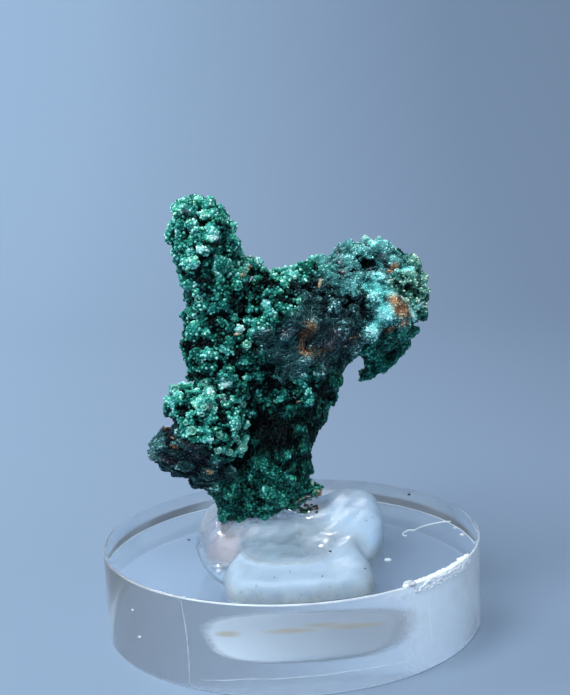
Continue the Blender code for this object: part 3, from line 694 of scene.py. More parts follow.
def balls_of(balls, subdivisions):
    """The points and faces of balls, each a (centre, 3x3 of half axes)."""
    centres, shapes = (np.array(column) for column in zip(*balls))
    return copies(icosphere(subdivisions), centres, shapes)


def value_noise(points, width, seed):
    """Smooth noise from -1 to 1 at points, with swells about that wide."""
    cells = points / width
    corner = np.floor(cells).astype(np.int64)
    share = cells - corner
    share = share * share * (3 - 2 * share)
    total = np.zeros(len(points))
    for offset in np.ndindex(2, 2, 2):
        x, y, z = (corner + offset).T
        key = (x * 73856093) ^ (y * 19349663) ^ (z * 83492791) ^ (seed * 1640531527)
        key = ((key ^ (key >> 13)) * 1274126177) & 0xFFFFFFFF
        value = ((key ^ (key >> 15)) & 0xFFFF) / 32767.5 - 1
        total += value * np.where(offset, share, 1 - share).prod(axis=1)
    return total


def nearest_of(points, places):
    """For each point, the index of the nearest place."""
    nearest = np.empty(len(points), int)
    for start in range(0, len(points), 5000):
        part = points[start:start + 5000]
        nearest[start:start + 5000] = ((part[:, None] - places) ** 2).sum(axis=2).argmin(axis=1)
    return nearest


def tree_of(points, triangles):
    return BVHTree.FromPolygons([Vector(p) for p in points], triangles.tolist())


def tubes(centres, normals, thick):
    """The points and faces of thin three-sided tubes: centres and normals hold one row of steps
    for each tube, and thick has the radius at each step."""
    run = unit(np.gradient(centres, axis=1))
    side = unit(np.cross(run, normals))
    ring = []
    for turn in (0, 120, 240):
        angle = math.radians(turn)
        reach = normals * math.cos(angle) + side * math.sin(angle)
        ring.append(centres + reach * thick[None, :, None])
    points = np.stack(ring, axis=2)
    count, steps = points.shape[:2]
    first = (np.arange(count)[:, None] * steps + np.arange(steps - 1)) * 3
    faces = []
    for i, j in ((0, 1), (1, 2), (2, 0)):
        faces.append(np.stack((first + i, first + j, first + j + 3, first + i + 3), axis=-1))
    return points.reshape(-1, 3), np.concatenate(faces).reshape(-1, 4)


def flecks(name, items):
    """One mesh of small irregular lumps: (middle, 3x3 of half axes, colour)."""
    middles, shapes, colours = (np.array(column) for column in zip(*items))
    solid = icosphere(BALL_DETAIL)
    points, faces = copies(solid, middles, shapes)
    owner = np.repeat(np.arange(len(items)), len(solid[0]))
    size = np.cbrt(np.linalg.det(shapes))[owner][:, None]
    wobble = sum(value_noise(points / size, width, seed) * high for width, high, seed in WOBBLES)
    points = middles[owner] + (points - middles[owner]) * (1 + wobble[:, None])
    mesh = mesh_of(name, points, faces)
    store_colours(mesh, opaque(colours)[owner])
    shade_smooth(mesh)
    return mesh


def opaque(colours):
    """Rows of red, green and blue, each with an alpha of 1."""
    return np.pad(colours, ((0, 0), (0, 1)), constant_values=1.0)


# ---- camera ----------------------------------------------------------------------------------
def view_axes():
    """The camera's right, up and forward directions."""
    forward = Vector((0, math.cos(CAMERA_PITCH), -math.sin(CAMERA_PITCH)))
    level = Vector((1, 0, 0))
    up = Vector((0, math.sin(CAMERA_PITCH), math.cos(CAMERA_PITCH)))
    right = level * math.cos(CAMERA_ROLL) + up * math.sin(CAMERA_ROLL)
    top = up * math.cos(CAMERA_ROLL) - level * math.sin(CAMERA_ROLL)
    return right, top, forward


VIEW_RIGHT, VIEW_UP, VIEW_FORWARD = view_axes()
CAMERA_PLACE = CAMERA_AIM - VIEW_FORWARD * CAMERA_DISTANCE
FOCAL_PIXELS = LENS / SENSOR * FRAME_HEIGHT


def build_camera():
    data = bpy.data.cameras.new("camera")
    data.lens = LENS
    data.sensor_width = SENSOR
    data.clip_start = 1 * MM
    camera = add_object("camera", data)
    turn = Matrix((VIEW_RIGHT, VIEW_UP, -VIEW_FORWARD)).transposed().to_4x4()
    camera.matrix_world = Matrix.Translation(CAMERA_PLACE) @ turn
    bpy.context.scene.camera = camera


def sight_line(across, down):
    """The direction in which the camera sees that place in the frame."""
    right = VIEW_RIGHT * ((across - FRAME_WIDTH / 2) / FOCAL_PIXELS)
    up = VIEW_UP * ((FRAME_HEIGHT / 2 - down) / FOCAL_PIXELS)
    return (VIEW_FORWARD + right + up).normalized()


def seen_at(tree, across, down):
    """(place, outward direction, size of a frame pixel there) of the surface that the camera sees
    at that place in the frame, or of the nearest surface where it just misses."""
    line = sight_line(across, down)
    place, outward, _, _ = tree.ray_cast(CAMERA_PLACE, line)
    if place is None:
        # steps along the line through the whole depth of the object
        steps = [CAMERA_PLACE + line * (CAMERA_DISTANCE * (0.88 + 0.003 * i)) for i in range(80)]
        found = [tree.find_nearest(step) for step in steps]
        place, outward, _, _ = min(found, key=lambda hit: hit[3])
    distance = (place - CAMERA_PLACE).dot(VIEW_FORWARD)
    return place, outward, distance / FOCAL_PIXELS


def frame_direction(tilt):
    """The direction that lies that many degrees anticlockwise of the frame's across."""
    turn = math.radians(tilt)
    return VIEW_RIGHT * math.cos(turn) + VIEW_UP * math.sin(turn)


def frame_places(points):
    """How far across and down the frame each point is seen, and the size of a frame pixel there."""
    offset = points - np.array(CAMERA_PLACE)
    distance = offset @ np.array(VIEW_FORWARD)
    across = FRAME_WIDTH / 2 + offset @ np.array(VIEW_RIGHT) / distance * FOCAL_PIXELS
    down = FRAME_HEIGHT / 2 - offset @ np.array(VIEW_UP) / distance * FOCAL_PIXELS
    return across, down, distance / FOCAL_PIXELS


# ---- stone: shape ----------------------------------------------------------------------------
def cad_skin(node, voxel):
    """The CAD node's surface as an even, welded mesh."""
    bm = bmesh.new()
    bm.from_mesh(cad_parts[node].data)
    bmesh.ops.remove_doubles(bm, verts=bm.verts, dist=0.001 * MM)
    return fused(mesh_from(node + "_skin", bm), voxel)


def drawn(points):
    """The points, moved in the plane of the frame as DRAWS says."""
    across, down, pixel = frame_places(points)
    right, up = np.array(frame_direction(0)), np.array(frame_direction(90))
    moves = np.zeros_like(points)
    for middle_x, middle_y, reach, to_right, to_down in DRAWS:
        share = np.exp(-((across - middle_x) ** 2 + (down - middle_y) ** 2) / reach ** 2)
        moves += (share * pixel)[:, None] * (right * to_right - up * to_down)
    return points + moves


def ball_axes(outward, along, height, length, width):
    """The half axes of a ball whose height lies along outward, as the columns of a 3x3."""
    outward = outward.normalized()
    side = along.cross(outward)
    if side.length < 1e-3:
        side = Vector((1, 0.3, 0.2)).cross(outward)
    side.normalize()
    along = outward.cross(side)
    return np.array([along * length, side * width, outward * height]).T


def random_direction(rng):
    return Vector((rng.gauss(0, 1), rng.gauss(0, 1), rng.gauss(0, 1))).normalized()


class Knobs:
    """The knobs on the stone: large and small balls, and each knob's middle, radius and tone."""

    def __init__(self):
        self.large, self.small = [], []
        self.middles, self.radii, self.tones = [], [], []

    def add(self, rng, place, outward, along, length, width, lumps, tone, proud):
        height = math.sqrt(length * width)
        middle = place - outward * (height * (1 - proud))
        axes = ball_axes(outward, along, height, length, width)
        self.large.append((middle, axes))
        self.middles.append(middle)
        self.radii.append(height)
        self.tones.append(tone)
        for _ in range(lumps):
            turn = (random_direction(rng) + Vector((0, 0, 0.8))).normalized()
            away = Vector(axes @ np.array(turn))
            size = min(length, width) * rng.uniform(*LUMP_SIZE)
            lump = ball_axes(away, along, size, size * rng.uniform(*LUMP_LENGTH), size)
            self.small.append((middle + away * LUMP_OUT, lump))


class Habits:
    """Says which habit the surface takes at a place."""

    def __init__(self, tree):
        self.places, self.habits = [], []
        for habit, spots in HABIT_PLACES.items():
            self.places += [seen_at(tree, *spot)[0] for spot in spots]
            self.habits += [habit] * len(spots)
        for habit, spots in HIDDEN_HABIT_PLACES.items():
            self.places += [Vector(spot) * MM for spot in spots]
            self.habits += [habit] * len(spots)
        self.places = np.array(self.places)

    def at(self, points):
        """The habit at each point; the borders between habits wander."""
        wander = [value_noise(points, BORDER_SWELL, seed) for seed in BORDER_SEEDS]
        nearest = nearest_of(points + np.stack(wander, axis=1) * BORDER_REACH, self.places)
        return np.array(self.habits)[nearest]


def grown(habit_of, *columns):
    """What HABITS says in those columns, one row for each of those habits."""
    return np.array([[getattr(HABITS[habit], name) for name in columns] for habit in habit_of])


class Crowd:
    """The room that knobs take up, kept by cells so that it is quick to search."""

    CELL = 1.0 * MM

    def __init__(self):
        self.taken = {}

    def cell_of(self, place):
        return tuple(int(math.floor(x / self.CELL)) for x in place)

    def take(self, place, reach):
        self.taken.setdefault(self.cell_of(place), []).append((place, reach))

    def has_room(self, place, reach):
        x, y, z = self.cell_of(place)
        for i, j, k in np.ndindex(3, 3, 3):
            for other, room in self.taken.get((x + i - 1, y + j - 1, z + k - 1), ()):
                if (other - place).length < reach + room:
                    return False
        return True


def front_knobs(tree, knobs):
    """The knobs that the photo shows one by one."""
    rng = random.Random(FRONT_SEED)
    for across, down, half_width, half_height, tilt, tone in FRONT_KNOBS:
        place, outward, pixel = seen_at(tree, across, down)
        is_large = min(half_width, half_height) >= LARGE_KNOB
        outward = (outward - VIEW_FORWARD * FRONT_TURN).normalized()
        knobs.add(
            rng, place, outward, frame_direction(tilt), half_width * pixel, half_height * pixel,
            LARGE_LUMPS if is_large else SMALL_LUMPS, tone * FRONT_TONE[1] + FRONT_TONE[0],
            FRONT_PROUD,
        )


def scattered_knobs(points, normals, habits, knobs, hollow):
    """Knobs over the rest of the surface, as close together as their habit has them."""
    rng = random.Random(SCATTER_SEED)
    crowd = Crowd()
    for middle, radius in zip(knobs.middles, knobs.radii):
        crowd.take(middle, radius * CROWD_ROOM)
    order = list(range(len(points)))
    rng.shuffle(order)
    habit_of = habits.at(points)
    for index in order:
        place, outward = Vector(points[index]), Vector(normals[index])
        habit = habit_of[index]
        growth = HABITS[habit]
        radius = rng.uniform(*growth.radius) * MM
        reach = growth.spacing * radius / sum(growth.radius)
        if hollow[index] > 0.5 or not crowd.has_room(place, reach):
            continue
        crowd.take(place, reach)
        length = radius * rng.uniform(1.0, growth.length)
        along = LIES.get(habit, random_direction(rng)) + random_direction(rng) * LIE_SPREAD
        tone = rng.uniform(*growth.tone)
        knobs.add(rng, place, outward, along, length, radius, growth.lumps, tone, growth.proud)


def blob_mask(points, spots, tree, deep=SPOT_DEEP):
    """1 inside the spots on the surface and 0 away from them, with soft and ragged edges."""
    mask = np.zeros(len(points))
    forward = np.array(VIEW_FORWARD)
    fray = sum(value_noise(points, width, seed) * SPOT_FRAY for width, seed in FRAYS)
    for across, down, half_width, half_height, tilt in spots:
        place, _, pixel = seen_at(tree, across, down)
        offset = points - np.array(place)
        along = np.array(frame_direction(tilt))
        aside = np.array(frame_direction(tilt + 90))
        depth = max(half_width, half_height, LEAST_DEEP) * pixel * deep
        share = (offset @ along / (half_width * pixel)) ** 2
        share += (offset @ aside / (half_height * pixel)) ** 2
        share += (offset @ forward / depth) ** 2
        inside = 1 + SPOT_SOFTNESS - np.sqrt(share) + fray
        mask = np.maximum(mask, np.clip(inside / (2 * SPOT_SOFTNESS), 0, 1))
    return mask


def stone_shape(skin, points, tree, habits):
    """The stone's mesh, grown from the skin with its vertices at those points, and its knobs."""
    edges, faces = edges_of(skin), triangles_of(skin)
    level = smoothed(points, edges, 8)
    set_points(skin, level)
    normals = normals_of(skin)

    knobs = Knobs()
    front_knobs(tree, knobs)
    hollow = blob_mask(points, [spot for *spot, depth in PITS if depth >= HOLLOW_DEPTH], tree)
    scattered_knobs(points, normals, habits, knobs, hollow)

    sink = smoothed(grown(habits.at(points), "sink") * MM, edges, 4)[:, 0]
    for *spot, depth in PITS:
        sink += blob_mask(points, (spot,), tree) * depth * MM
    core = (level - normals * sink[:, None], faces)
    balls = (balls_of(knobs.large, BALL_DETAIL), balls_of(knobs.small, LUMP_DETAIL))
    mesh = fused(joined("stone", (core, *balls)), STONE_VOXEL)
    mesh = modified(mesh, "DECIMATE", ratio=STONE_TRIANGLES / len(triangles_of(mesh)))

    points = smoothed(points_of(mesh), edges_of(mesh), 1, 0.4)
    set_points(mesh, points)
    for width, height, seed in ROUGHENING:
        swell = value_noise(points, width * MM, seed) * height * MM
        points = points + normals_of(mesh) * swell[:, None]
        set_points(mesh, points)
    shade_smooth(mesh)
    return mesh, knobs


# ---- stone: what grows and shows on it -------------------------------------------------------
class Surface:
    """The stone's finished surface, and what grows and shows at each place on it."""

    def __init__(self, mesh, knobs, habits, tree):
        self.points, self.triangles = points_of(mesh), triangles_of(mesh)
        self.normals = normals_of(mesh)
        self.habit_of = habits.at(self.points)
        edges = edges_of(mesh)
        near = smoothed(self.points, edges, TIP_ROUNDS)
        far = smoothed(near, edges, SWELL_ROUNDS)
        tip = dots(self.points - near, self.normals) / TIP_HEIGHT
        swell = dots(self.points - far, self.normals) / SWELL_HEIGHT
        finder = kdtree.KDTree(len(knobs.middles))
        for index, middle in enumerate(knobs.middles):
            finder.insert(middle, index)
        finder.balance()
        nearest = np.array([finder.find(point)[1] for point in self.points])
        tone = smoothed_row(np.array(knobs.tones)[nearest], edges, 2)
        shade, relief = smoothed(grown(self.habit_of, "shade", "relief"), edges, 6).T
        # Tips and swells are painted paler and hollows darker: painted highlight and painted shade.
        self.light = tone - shade + TIP_LIGHT * np.clip(tip, -1, 1)
        self.light += relief * np.clip(swell, -1.3, 1)
        self.stains = {name: blob_mask(self.points, spots, tree) for name, spots in STAINS.items()}
        # The ring glints, filled in, are painted into the pale share: painted highlight.
        rings = [(across, down, radius, radius, 0) for across, down, radius, _ in RING_GLINTS]
        ring_glint_fill = blob_mask(self.points, rings, tree) * RING_GLINT_SHARE
        self.stains["pale"] = np.maximum(self.stains["pale"], ring_glint_fill)
        for name, lift in STAIN_LIFTS.items():
            self.light += lift * self.stains[name]
        pits = [spot for *spot, _ in PITS]
        # Painted shade darkens the pits.
        self.light -= PIT_SHADE * blob_mask(self.points, pits, tree, PIT_DEEP)
        for name, members in KINDS.items():
            share = np.isin(self.habit_of, members).astype(float)
            self.stains[name] = smoothed_row(share, edges, 8)
        self.tree = tree_of(self.points, self.triangles)

    def scatter(self, rng, gaps):
        """Random places on the surface, no more than one in each cell of its gap's size, and the
        nearest corner of the mesh to each."""
        corners = self.points[self.triangles]
        sides = corners[:, 1:] - corners[:, :1]
        areas = np.linalg.norm(np.cross(sides[:, 0], sides[:, 1]), axis=1) / 2
        gap = gaps[self.triangles[:, 0]]
        crowd = areas / gap ** 2
        count = int(crowd.sum() * 3)
        picked = rng.choice(len(areas), count, p=crowd / crowd.sum())
        shares = rng.dirichlet((1, 1, 1), count)
        places = np.einsum("ni,nij->nj", shares, corners[picked])
        cells = np.floor(places / gap[picked][:, None]).astype(np.int64)
        _, kept = np.unique(cells @ (1, 100_003, 10_000_600_009), return_index=True)
        kept = rng.permutation(kept)
        corner = self.triangles[picked[kept], shares[kept].argmax(axis=1)]
        return places[kept], corner

    def paint(self, mesh, light, corner):
        """Stores what the material reads, for vertices that lie by those corners."""
        store(mesh, "light", light)
        for name, share in self.stains.items():
            store(mesh, name, share[corner])


def grain_pieces(surface):
    """The grains on the knobs, as (name, mesh, vertex lights, vertex corners) for each habit."""
    rng = np.random.default_rng(GRAIN_SEED)
    gaps = grown(surface.habit_of, "gap")[:, 0] * MM
    places, corners = surface.scatter(rng, gaps)
    solid = icosphere(GRAIN_DETAIL)
    for habit, growth in HABITS.items():
        picked = np.flatnonzero(surface.habit_of[corners] == habit)
        corner = corners[picked]
        outward = surface.normals[corner]
        count = len(picked)
        radius = rng.uniform(*growth.grain_radius, count) * MM
        length = radius * rng.uniform(1.0, growth.grain_length, count)
        along = rng.normal(size=(count, 3))
        if habit in LIES:
            along = along * 0.3 + np.array(LIES[habit])
        tilted = unit(outward + rng.normal(size=(count, 3)) * 0.25)
        side = unit(np.cross(along, tilted))
        along = np.cross(tilted, side)
        axes = (along * length[:, None], side * radius[:, None], tilted * radius[:, None])
        centres = places[picked] + outward * (radius * 0.05)[:, None]
        points, faces = copies(solid, centres, np.stack(axes, axis=2))
        own = (rng.random(count) ** 2 - 0.28) * growth.variety
        owner = np.repeat(np.arange(count), len(solid[0]))
        height = dots(points - centres[owner], tilted[owner]) / radius[owner]
        # Each grain is painted paler towards its top: painted highlight.
        light = (surface.light[corner] + own)[owner] + TIP_LIGHT * height
        yield f"grains_{habit}_1", mesh_of("grains", points, faces), light, corner[owner]


def strand_piece(surface):
    """The fine strands that lie over some habits: (mesh, vertex lights, vertex corners)."""
    rng = np.random.default_rng(STRAND_SEED)
    starts, ways, own = [], [], []
    for habit, (count, way, (low, high)) in STRANDS.items():
        starts.append(rng.choice(np.flatnonzero(surface.habit_of == habit), count))
        ways.append(np.array(way) + rng.normal(size=(count, 3)) * 0.45)
        own.append(low + (high - low) * rng.random(count) ** 2)
    corner = np.concatenate(starts)
    place, way = surface.points[corner], unit(np.concatenate(ways))
    centres, normals = [], []
    for _ in STRAND_TAPER:
        found = [surface.tree.find_nearest(Vector(spot)) for spot in place]
        place = np.array([hit[0] for hit in found])
        outward = np.array([hit[1] for hit in found])
        centres.append(place + outward * STRAND_RADIUS * 0.9)
        normals.append(outward)
        way = unit(way + rng.normal(size=way.shape) * 0.28)
        way = unit(way - outward * dots(way, outward)[:, None])
        place = place + way * STRAND_STEP
    centres, normals = np.stack(centres, 1), np.stack(normals, 1)
    mesh = mesh_of("strands", *tubes(centres, normals, STRAND_RADIUS * np.array(STRAND_TAPER)))
    owner = np.repeat(np.arange(len(corner)), len(STRAND_TAPER) * 3)
    light = (surface.light[corner] * 0.4 + np.concatenate(own))[owner]
    return mesh, light, corner[owner]


def chip_piece(carriers):
    """The loose chips and flakes on the stone and the glue, each with its own colour."""
    rng = random.Random(CHIP_SEED)
    items = []
    for across, down, half_length, half_width, half_height, tilt, colour in CHIPS:
        place, outward, pixel = seen_at(carriers, across, down)
        outward = outward - VIEW_FORWARD * CHIP_TURN + random_direction(rng) * CHIP_SPREAD
        outward.normalize()
        length, width, height = (size * pixel for size in (half_length, half_width, half_height))
        axes = ball_axes(outward, frame_direction(tilt), height, length, width)
        items.append((place - VIEW_FORWARD * (height * 0.3), axes, colour))
    return flecks("mineral_chips", items)


def painted_ring_piece(surface):
    """The pale rings painted on the beads as their glints: painted highlight."""
    turns = np.linspace(0, 2 * math.pi, 17)
    circle = np.stack((np.cos(turns), np.sin(turns), turns * 0), axis=1)
    centres, normals, thick = [], [], []
    for across, down, radius, width in RING_GLINTS:
        place, outward, pixel = seen_at(surface.tree, across, down)
        outward = (outward * 0.6 - VIEW_FORWARD).normalized()
        axes = ball_axes(outward, frame_direction(0), 0.0, radius * pixel, radius * pixel * 0.85)
        centres.append(np.array(place + outward * 0.10 * MM) + circle @ axes.T)
        normals.append(np.tile(outward, (len(turns), 1)))
        thick.append(width * pixel * 0.5)
    thick = np.full(len(turns), np.mean(thick))
    mesh = mesh_of("rings", *tubes(np.array(centres), np.array(normals), thick))
    store_colours(mesh, opaque(np.tile(RING_GLINT_COLOUR, (len(mesh.vertices), 1))))
    return mesh


def place_on_stone(name, mesh, material):
    piece = add_object(name, mesh, material)
    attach(piece, "root")
    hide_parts("malachite")


def build_stone():
    skin = cad_skin("malachite", CORE_VOXEL)
    points = drawn(points_of(skin))
    tree = tree_of(points, triangles_of(skin))
    habits = Habits(tree)
    stone, knobs = stone_shape(skin, points, tree, habits)

    surface = Surface(stone, knobs, habits, tree)
    # Painted shade: the bare stone between the grains is darker than the grains.
    surface.paint(stone, surface.light - CRUST_GAP_SHADE, np.arange(len(surface.points)))
    place_on_stone("malachite_stone", stone, stone_material("malachite_crust", CRUST_GLOSS))
    grain_material = stone_material("malachite_grains", GRAIN_GLOSS)
    for name, grains, light, corner in grain_pieces(surface):
        surface.paint(grains, light, corner)
        shade_smooth(grains)
        place_on_stone(name, grains, grain_material)
    strands, light, corner = strand_piece(surface)
    surface.paint(strands, light, corner)
    place_on_stone("fibrous_strands", strands, grain_material)

    under = (stone, bpy.data.objects["hot_glue"].data)
    carriers = joined("carriers", [(points_of(part), triangles_of(part)) for part in under])
    chips = chip_material()
    crumbs = chip_piece(tree_of(points_of(carriers), triangles_of(carriers)))
    place_on_stone("mineral_chips", crumbs, chips)
    # The pale rings are painted glints on the beads: painted highlight.
    place_on_stone("painted_ring_glints", painted_ring_piece(surface), chips)


# ---- materials -------------------------------------------------------------------------------
class Shader:
    """A node material, with short ways to add its nodes."""

    def __init__(self, name):
        self.material = bpy.data.materials.new(name)
        self.material.use_nodes = True
        self.tree = self.material.node_tree
        self.surface = self.tree.nodes["Principled BSDF"]

    def put(self, socket, value):
        """Links value to socket if it is another node's output, and sets it otherwise."""
        if isinstance(value, bpy.types.NodeSocket):
            self.tree.links.new(value, socket)
        elif socket.type == "RGBA":
            socket.default_value = (*value, 1.0)
        else:
            socket.default_value = value

    def set(self, **values):
        """Sets the Principled shader's inputs, named with _ for a space."""
        for name, value in values.items():
            self.put(self.surface.inputs[name.replace("_", " ")], value)

    def node(self, kind, values, output=0, **settings):
        """The output of a new node with those settings and those input values."""
        node = self.tree.nodes.new(kind)
        for name, value in settings.items():
            setattr(node, name, value)
        for name, value in values.items():
            self.put(node.inputs[name], value)
        return node.outputs[output]

    def attribute(self, name, output="Fac"):
        return self.node("ShaderNodeAttribute", {}, output, attribute_name=name)

    def where(self):
        return self.node("ShaderNodeTexCoord", {}, "Object")

    def axes(self):
        """The place's X, Y and Z."""
        return [self.node("ShaderNodeSeparateXYZ", {0: self.where()}, axis) for axis in "XYZ"]

    def noise(self, scale, detail=3.0, roughness=0.55, distortion=0.0):
        values = {
            "Vector": self.where(), "Scale": scale, "Detail": detail, "Roughness": roughness,
            "Distortion": distortion,
        }
        return self.node("ShaderNodeTexNoise", values, "Fac")

    def cells(self, scale):
        values = {"Vector": self.where(), "Scale": scale}
        return self.node("ShaderNodeTexVoronoi", values, "Distance")

    def math(self, operation, first, *others):
        """The operation on first, or on first and each of the others in turn."""
        if not others:
            return self.node("ShaderNodeMath", {0: first}, operation=operation)
        for other in others:
            first = self.node("ShaderNodeMath", {0: first, 1: other}, operation=operation)
        return first

    def total(self, *values):
        return self.math("ADD", *values)

    def times(self, *values):
        return self.math("MULTIPLY", *values)

    def largest(self, *values):
        return self.math("MAXIMUM", *values)

    def less(self, first, second):
        return self.math("SUBTRACT", first, second)

    def swing(self, noise, reach):
        """noise, moved from 0..1 to -reach/2..reach/2."""
        return self.times(self.less(noise, 0.5), reach)

    def fit(self, value, low, high, new_low=0.0, new_high=1.0):
        """value, moved from low..high to new_low..new_high and held there."""
        values = {
            "Value": value, "From Min": low, "From Max": high,
            "To Min": new_low, "To Max": new_high,
        }
        return self.node("ShaderNodeMapRange", values, "Result", clamp=True)

    def ramp(self, value, stops):
        node = self.tree.nodes.new("ShaderNodeValToRGB")
        elements = node.color_ramp.elements
        while len(elements) < len(stops):
            elements.new(0.5)
        for element, (position, colour) in zip(elements, stops):
            element.position = position
            element.color = (*colour, 1.0)
        self.put(node.inputs["Fac"], value)
        return node.outputs["Color"]

    def mix(self, share, first, second, blend="MIX"):
        values = {"Factor": share, 6: first, 7: second}
        return self.node("ShaderNodeMix", values, 2, data_type="RGBA", blend_type=blend)

    def bump(self, height, distance, strength):
        values = {"Height": height, "Distance": distance, "Strength": strength}
        return self.node("ShaderNodeBump", values, "Normal")

    def let_lamps_through(self, share):
        """Light from the lamps passes straight through that share of the surface."""
        shadow = self.node("ShaderNodeLightPath", {}, "Is Shadow Ray")
        open_air = self.node("ShaderNodeBsdfTransparent", {})
        values = {0: self.times(shadow, share), 1: self.surface.outputs[0], 2: open_air}
        shown = self.node("ShaderNodeMixShader", values)
        self.put(self.tree.nodes["Material Output"].inputs["Surface"], shown)


def stone_material(name, gloss):
    shader = Shader(name)
    fit, noise = shader.fit, shader.noise
    grain = noise(5200, 4, 0.65)
    rough_ground = shader.total(shader.attribute("slaty"), shader.attribute("turquoise"))
    # Bright specks painted on the stone, most on the rough ground, as crystal glints: painted
    # highlight.
    painted_glints = shader.times(fit(shader.cells(6200), 0.34, 0.12), fit(rough_ground, 0, 1, 0.14, 0.42))
    light = shader.total(
        shader.attribute("light"), shader.swing(grain, 0.40),
        shader.swing(noise(1500, 3, 0.6), 0.30), painted_glints,
    )
    emerald = fit(noise(1300, 4, 0.7), 0.46, 0.62)
    colour = shader.mix(emerald, shader.ramp(light, GREENS), EMERALD, "MULTIPLY")
    patchy = fit(noise(2600, 3, 0.6), 0.36, 0.60)
    for kind, (strength, least, stops) in COLOURS.items():
        share = shader.times(shader.attribute(kind), fit(patchy, 0, 1, least, 1.0), strength)
        colour = shader.mix(share, colour, shader.ramp(light, stops))
    relief = shader.total(shader.times(shader.cells(4800), -0.6), grain)
    shader.set(
        Base_Color=colour, Roughness=fit(noise(3000, 2), 0.3, 0.7, 0.28, 0.55),
        Normal=shader.bump(relief, 0.06 * MM, 0.8), Specular_IOR_Level=gloss, IOR=1.6,
    )
    return shader.material


def chip_material():
    shader = Shader("mineral_chip")
    fleck = shader.noise(6000, 3, 0.6)
    shade = shader.mix(shader.fit(fleck, 0.35, 0.65), (0.35, 0.35, 0.35), (1.0, 1.0, 1.0))
    shader.set(
        Base_Color=shader.mix(1.0, shader.attribute("paint", "Color"), shade, "MULTIPLY"),
        Roughness=shader.fit(fleck, 0.3, 0.7, 0.35, 0.65),
        Normal=shader.bump(fleck, 0.05 * MM, 0.6), Specular_IOR_Level=0.3,
    )
    return shader.material


def glue_material():
    shader = Shader("hot_melt_glue")
    fit, mix, noise = shader.fit, shader.mix, shader.noise
    cloud, rose, low = (shader.attribute(name) for name in ("cloud", "rose", "low"))
    cloudy = shader.total(cloud, shader.swing(noise(420, 4, 0.6), 0.30), shader.times(low, -0.12))
    cloudy = fit(cloudy, 0, 1)
    tint = mix(rose, (0.78, 0.91, 1.0), (0.90, 0.85, 0.92))
    curds = shader.total(cloud, shader.swing(noise(330, 3), 0.5))
    white = mix(fit(curds, 0.3, 1.1), (0.22, 0.36, 0.53), (0.37, 0.54, 0.73))
    white = mix(rose, white, (0.36, 0.37, 0.47))
    # Low down the glue is greyer and darker.
    greyer_foot = mix(fit(noise(800, 5, 0.7), 0.4, 0.62), (0.19, 0.27, 0.33), (0.34, 0.40, 0.40))
    low = shader.times(low, fit(noise(420, 4, 0.6), 0.35, 0.6, 0.55, 1.0))
    white = mix(low, white, greyer_foot)
    dust = shader.times(fit(shader.cells(1500), 0.16, 0.08), low)
    dust = shader.largest(dust, fit(shader.cells(900), 0.10, 0.06))
    white = mix(dust, white, (0.18, 0.17, 0.15))
    creases = shader.total(noise(700, 4, 0.6), noise(260, 5, 0.7, 1.2))
    clear = shader.less(1.0, cloudy)
    shader.set(
        Base_Color=mix(cloudy, tint, white),
        Roughness=fit(cloudy, 0, 1, 0.08, 0.42),
        Normal=shader.bump(creases, 0.16 * MM, 0.45),
        IOR=1.48,
        Transmission_Weight=clear,
        Subsurface_Weight=shader.times(cloudy, 0.6),
        Subsurface_Radius=(1.0, 1.1, 1.2),
        Subsurface_Scale=1.2 * MM,
        Specular_IOR_Level=0.4,
        Coat_Weight=fit(cloudy, 0.3, 0.7, 1.0, 0.12),
        Coat_Roughness=0.04,
        Coat_Normal=shader.bump(noise(640, 2, 0.5), 0.50 * MM, 0.8),
    )
    shader.let_lamps_through(shader.times(clear, 0.9))
    return shader.material


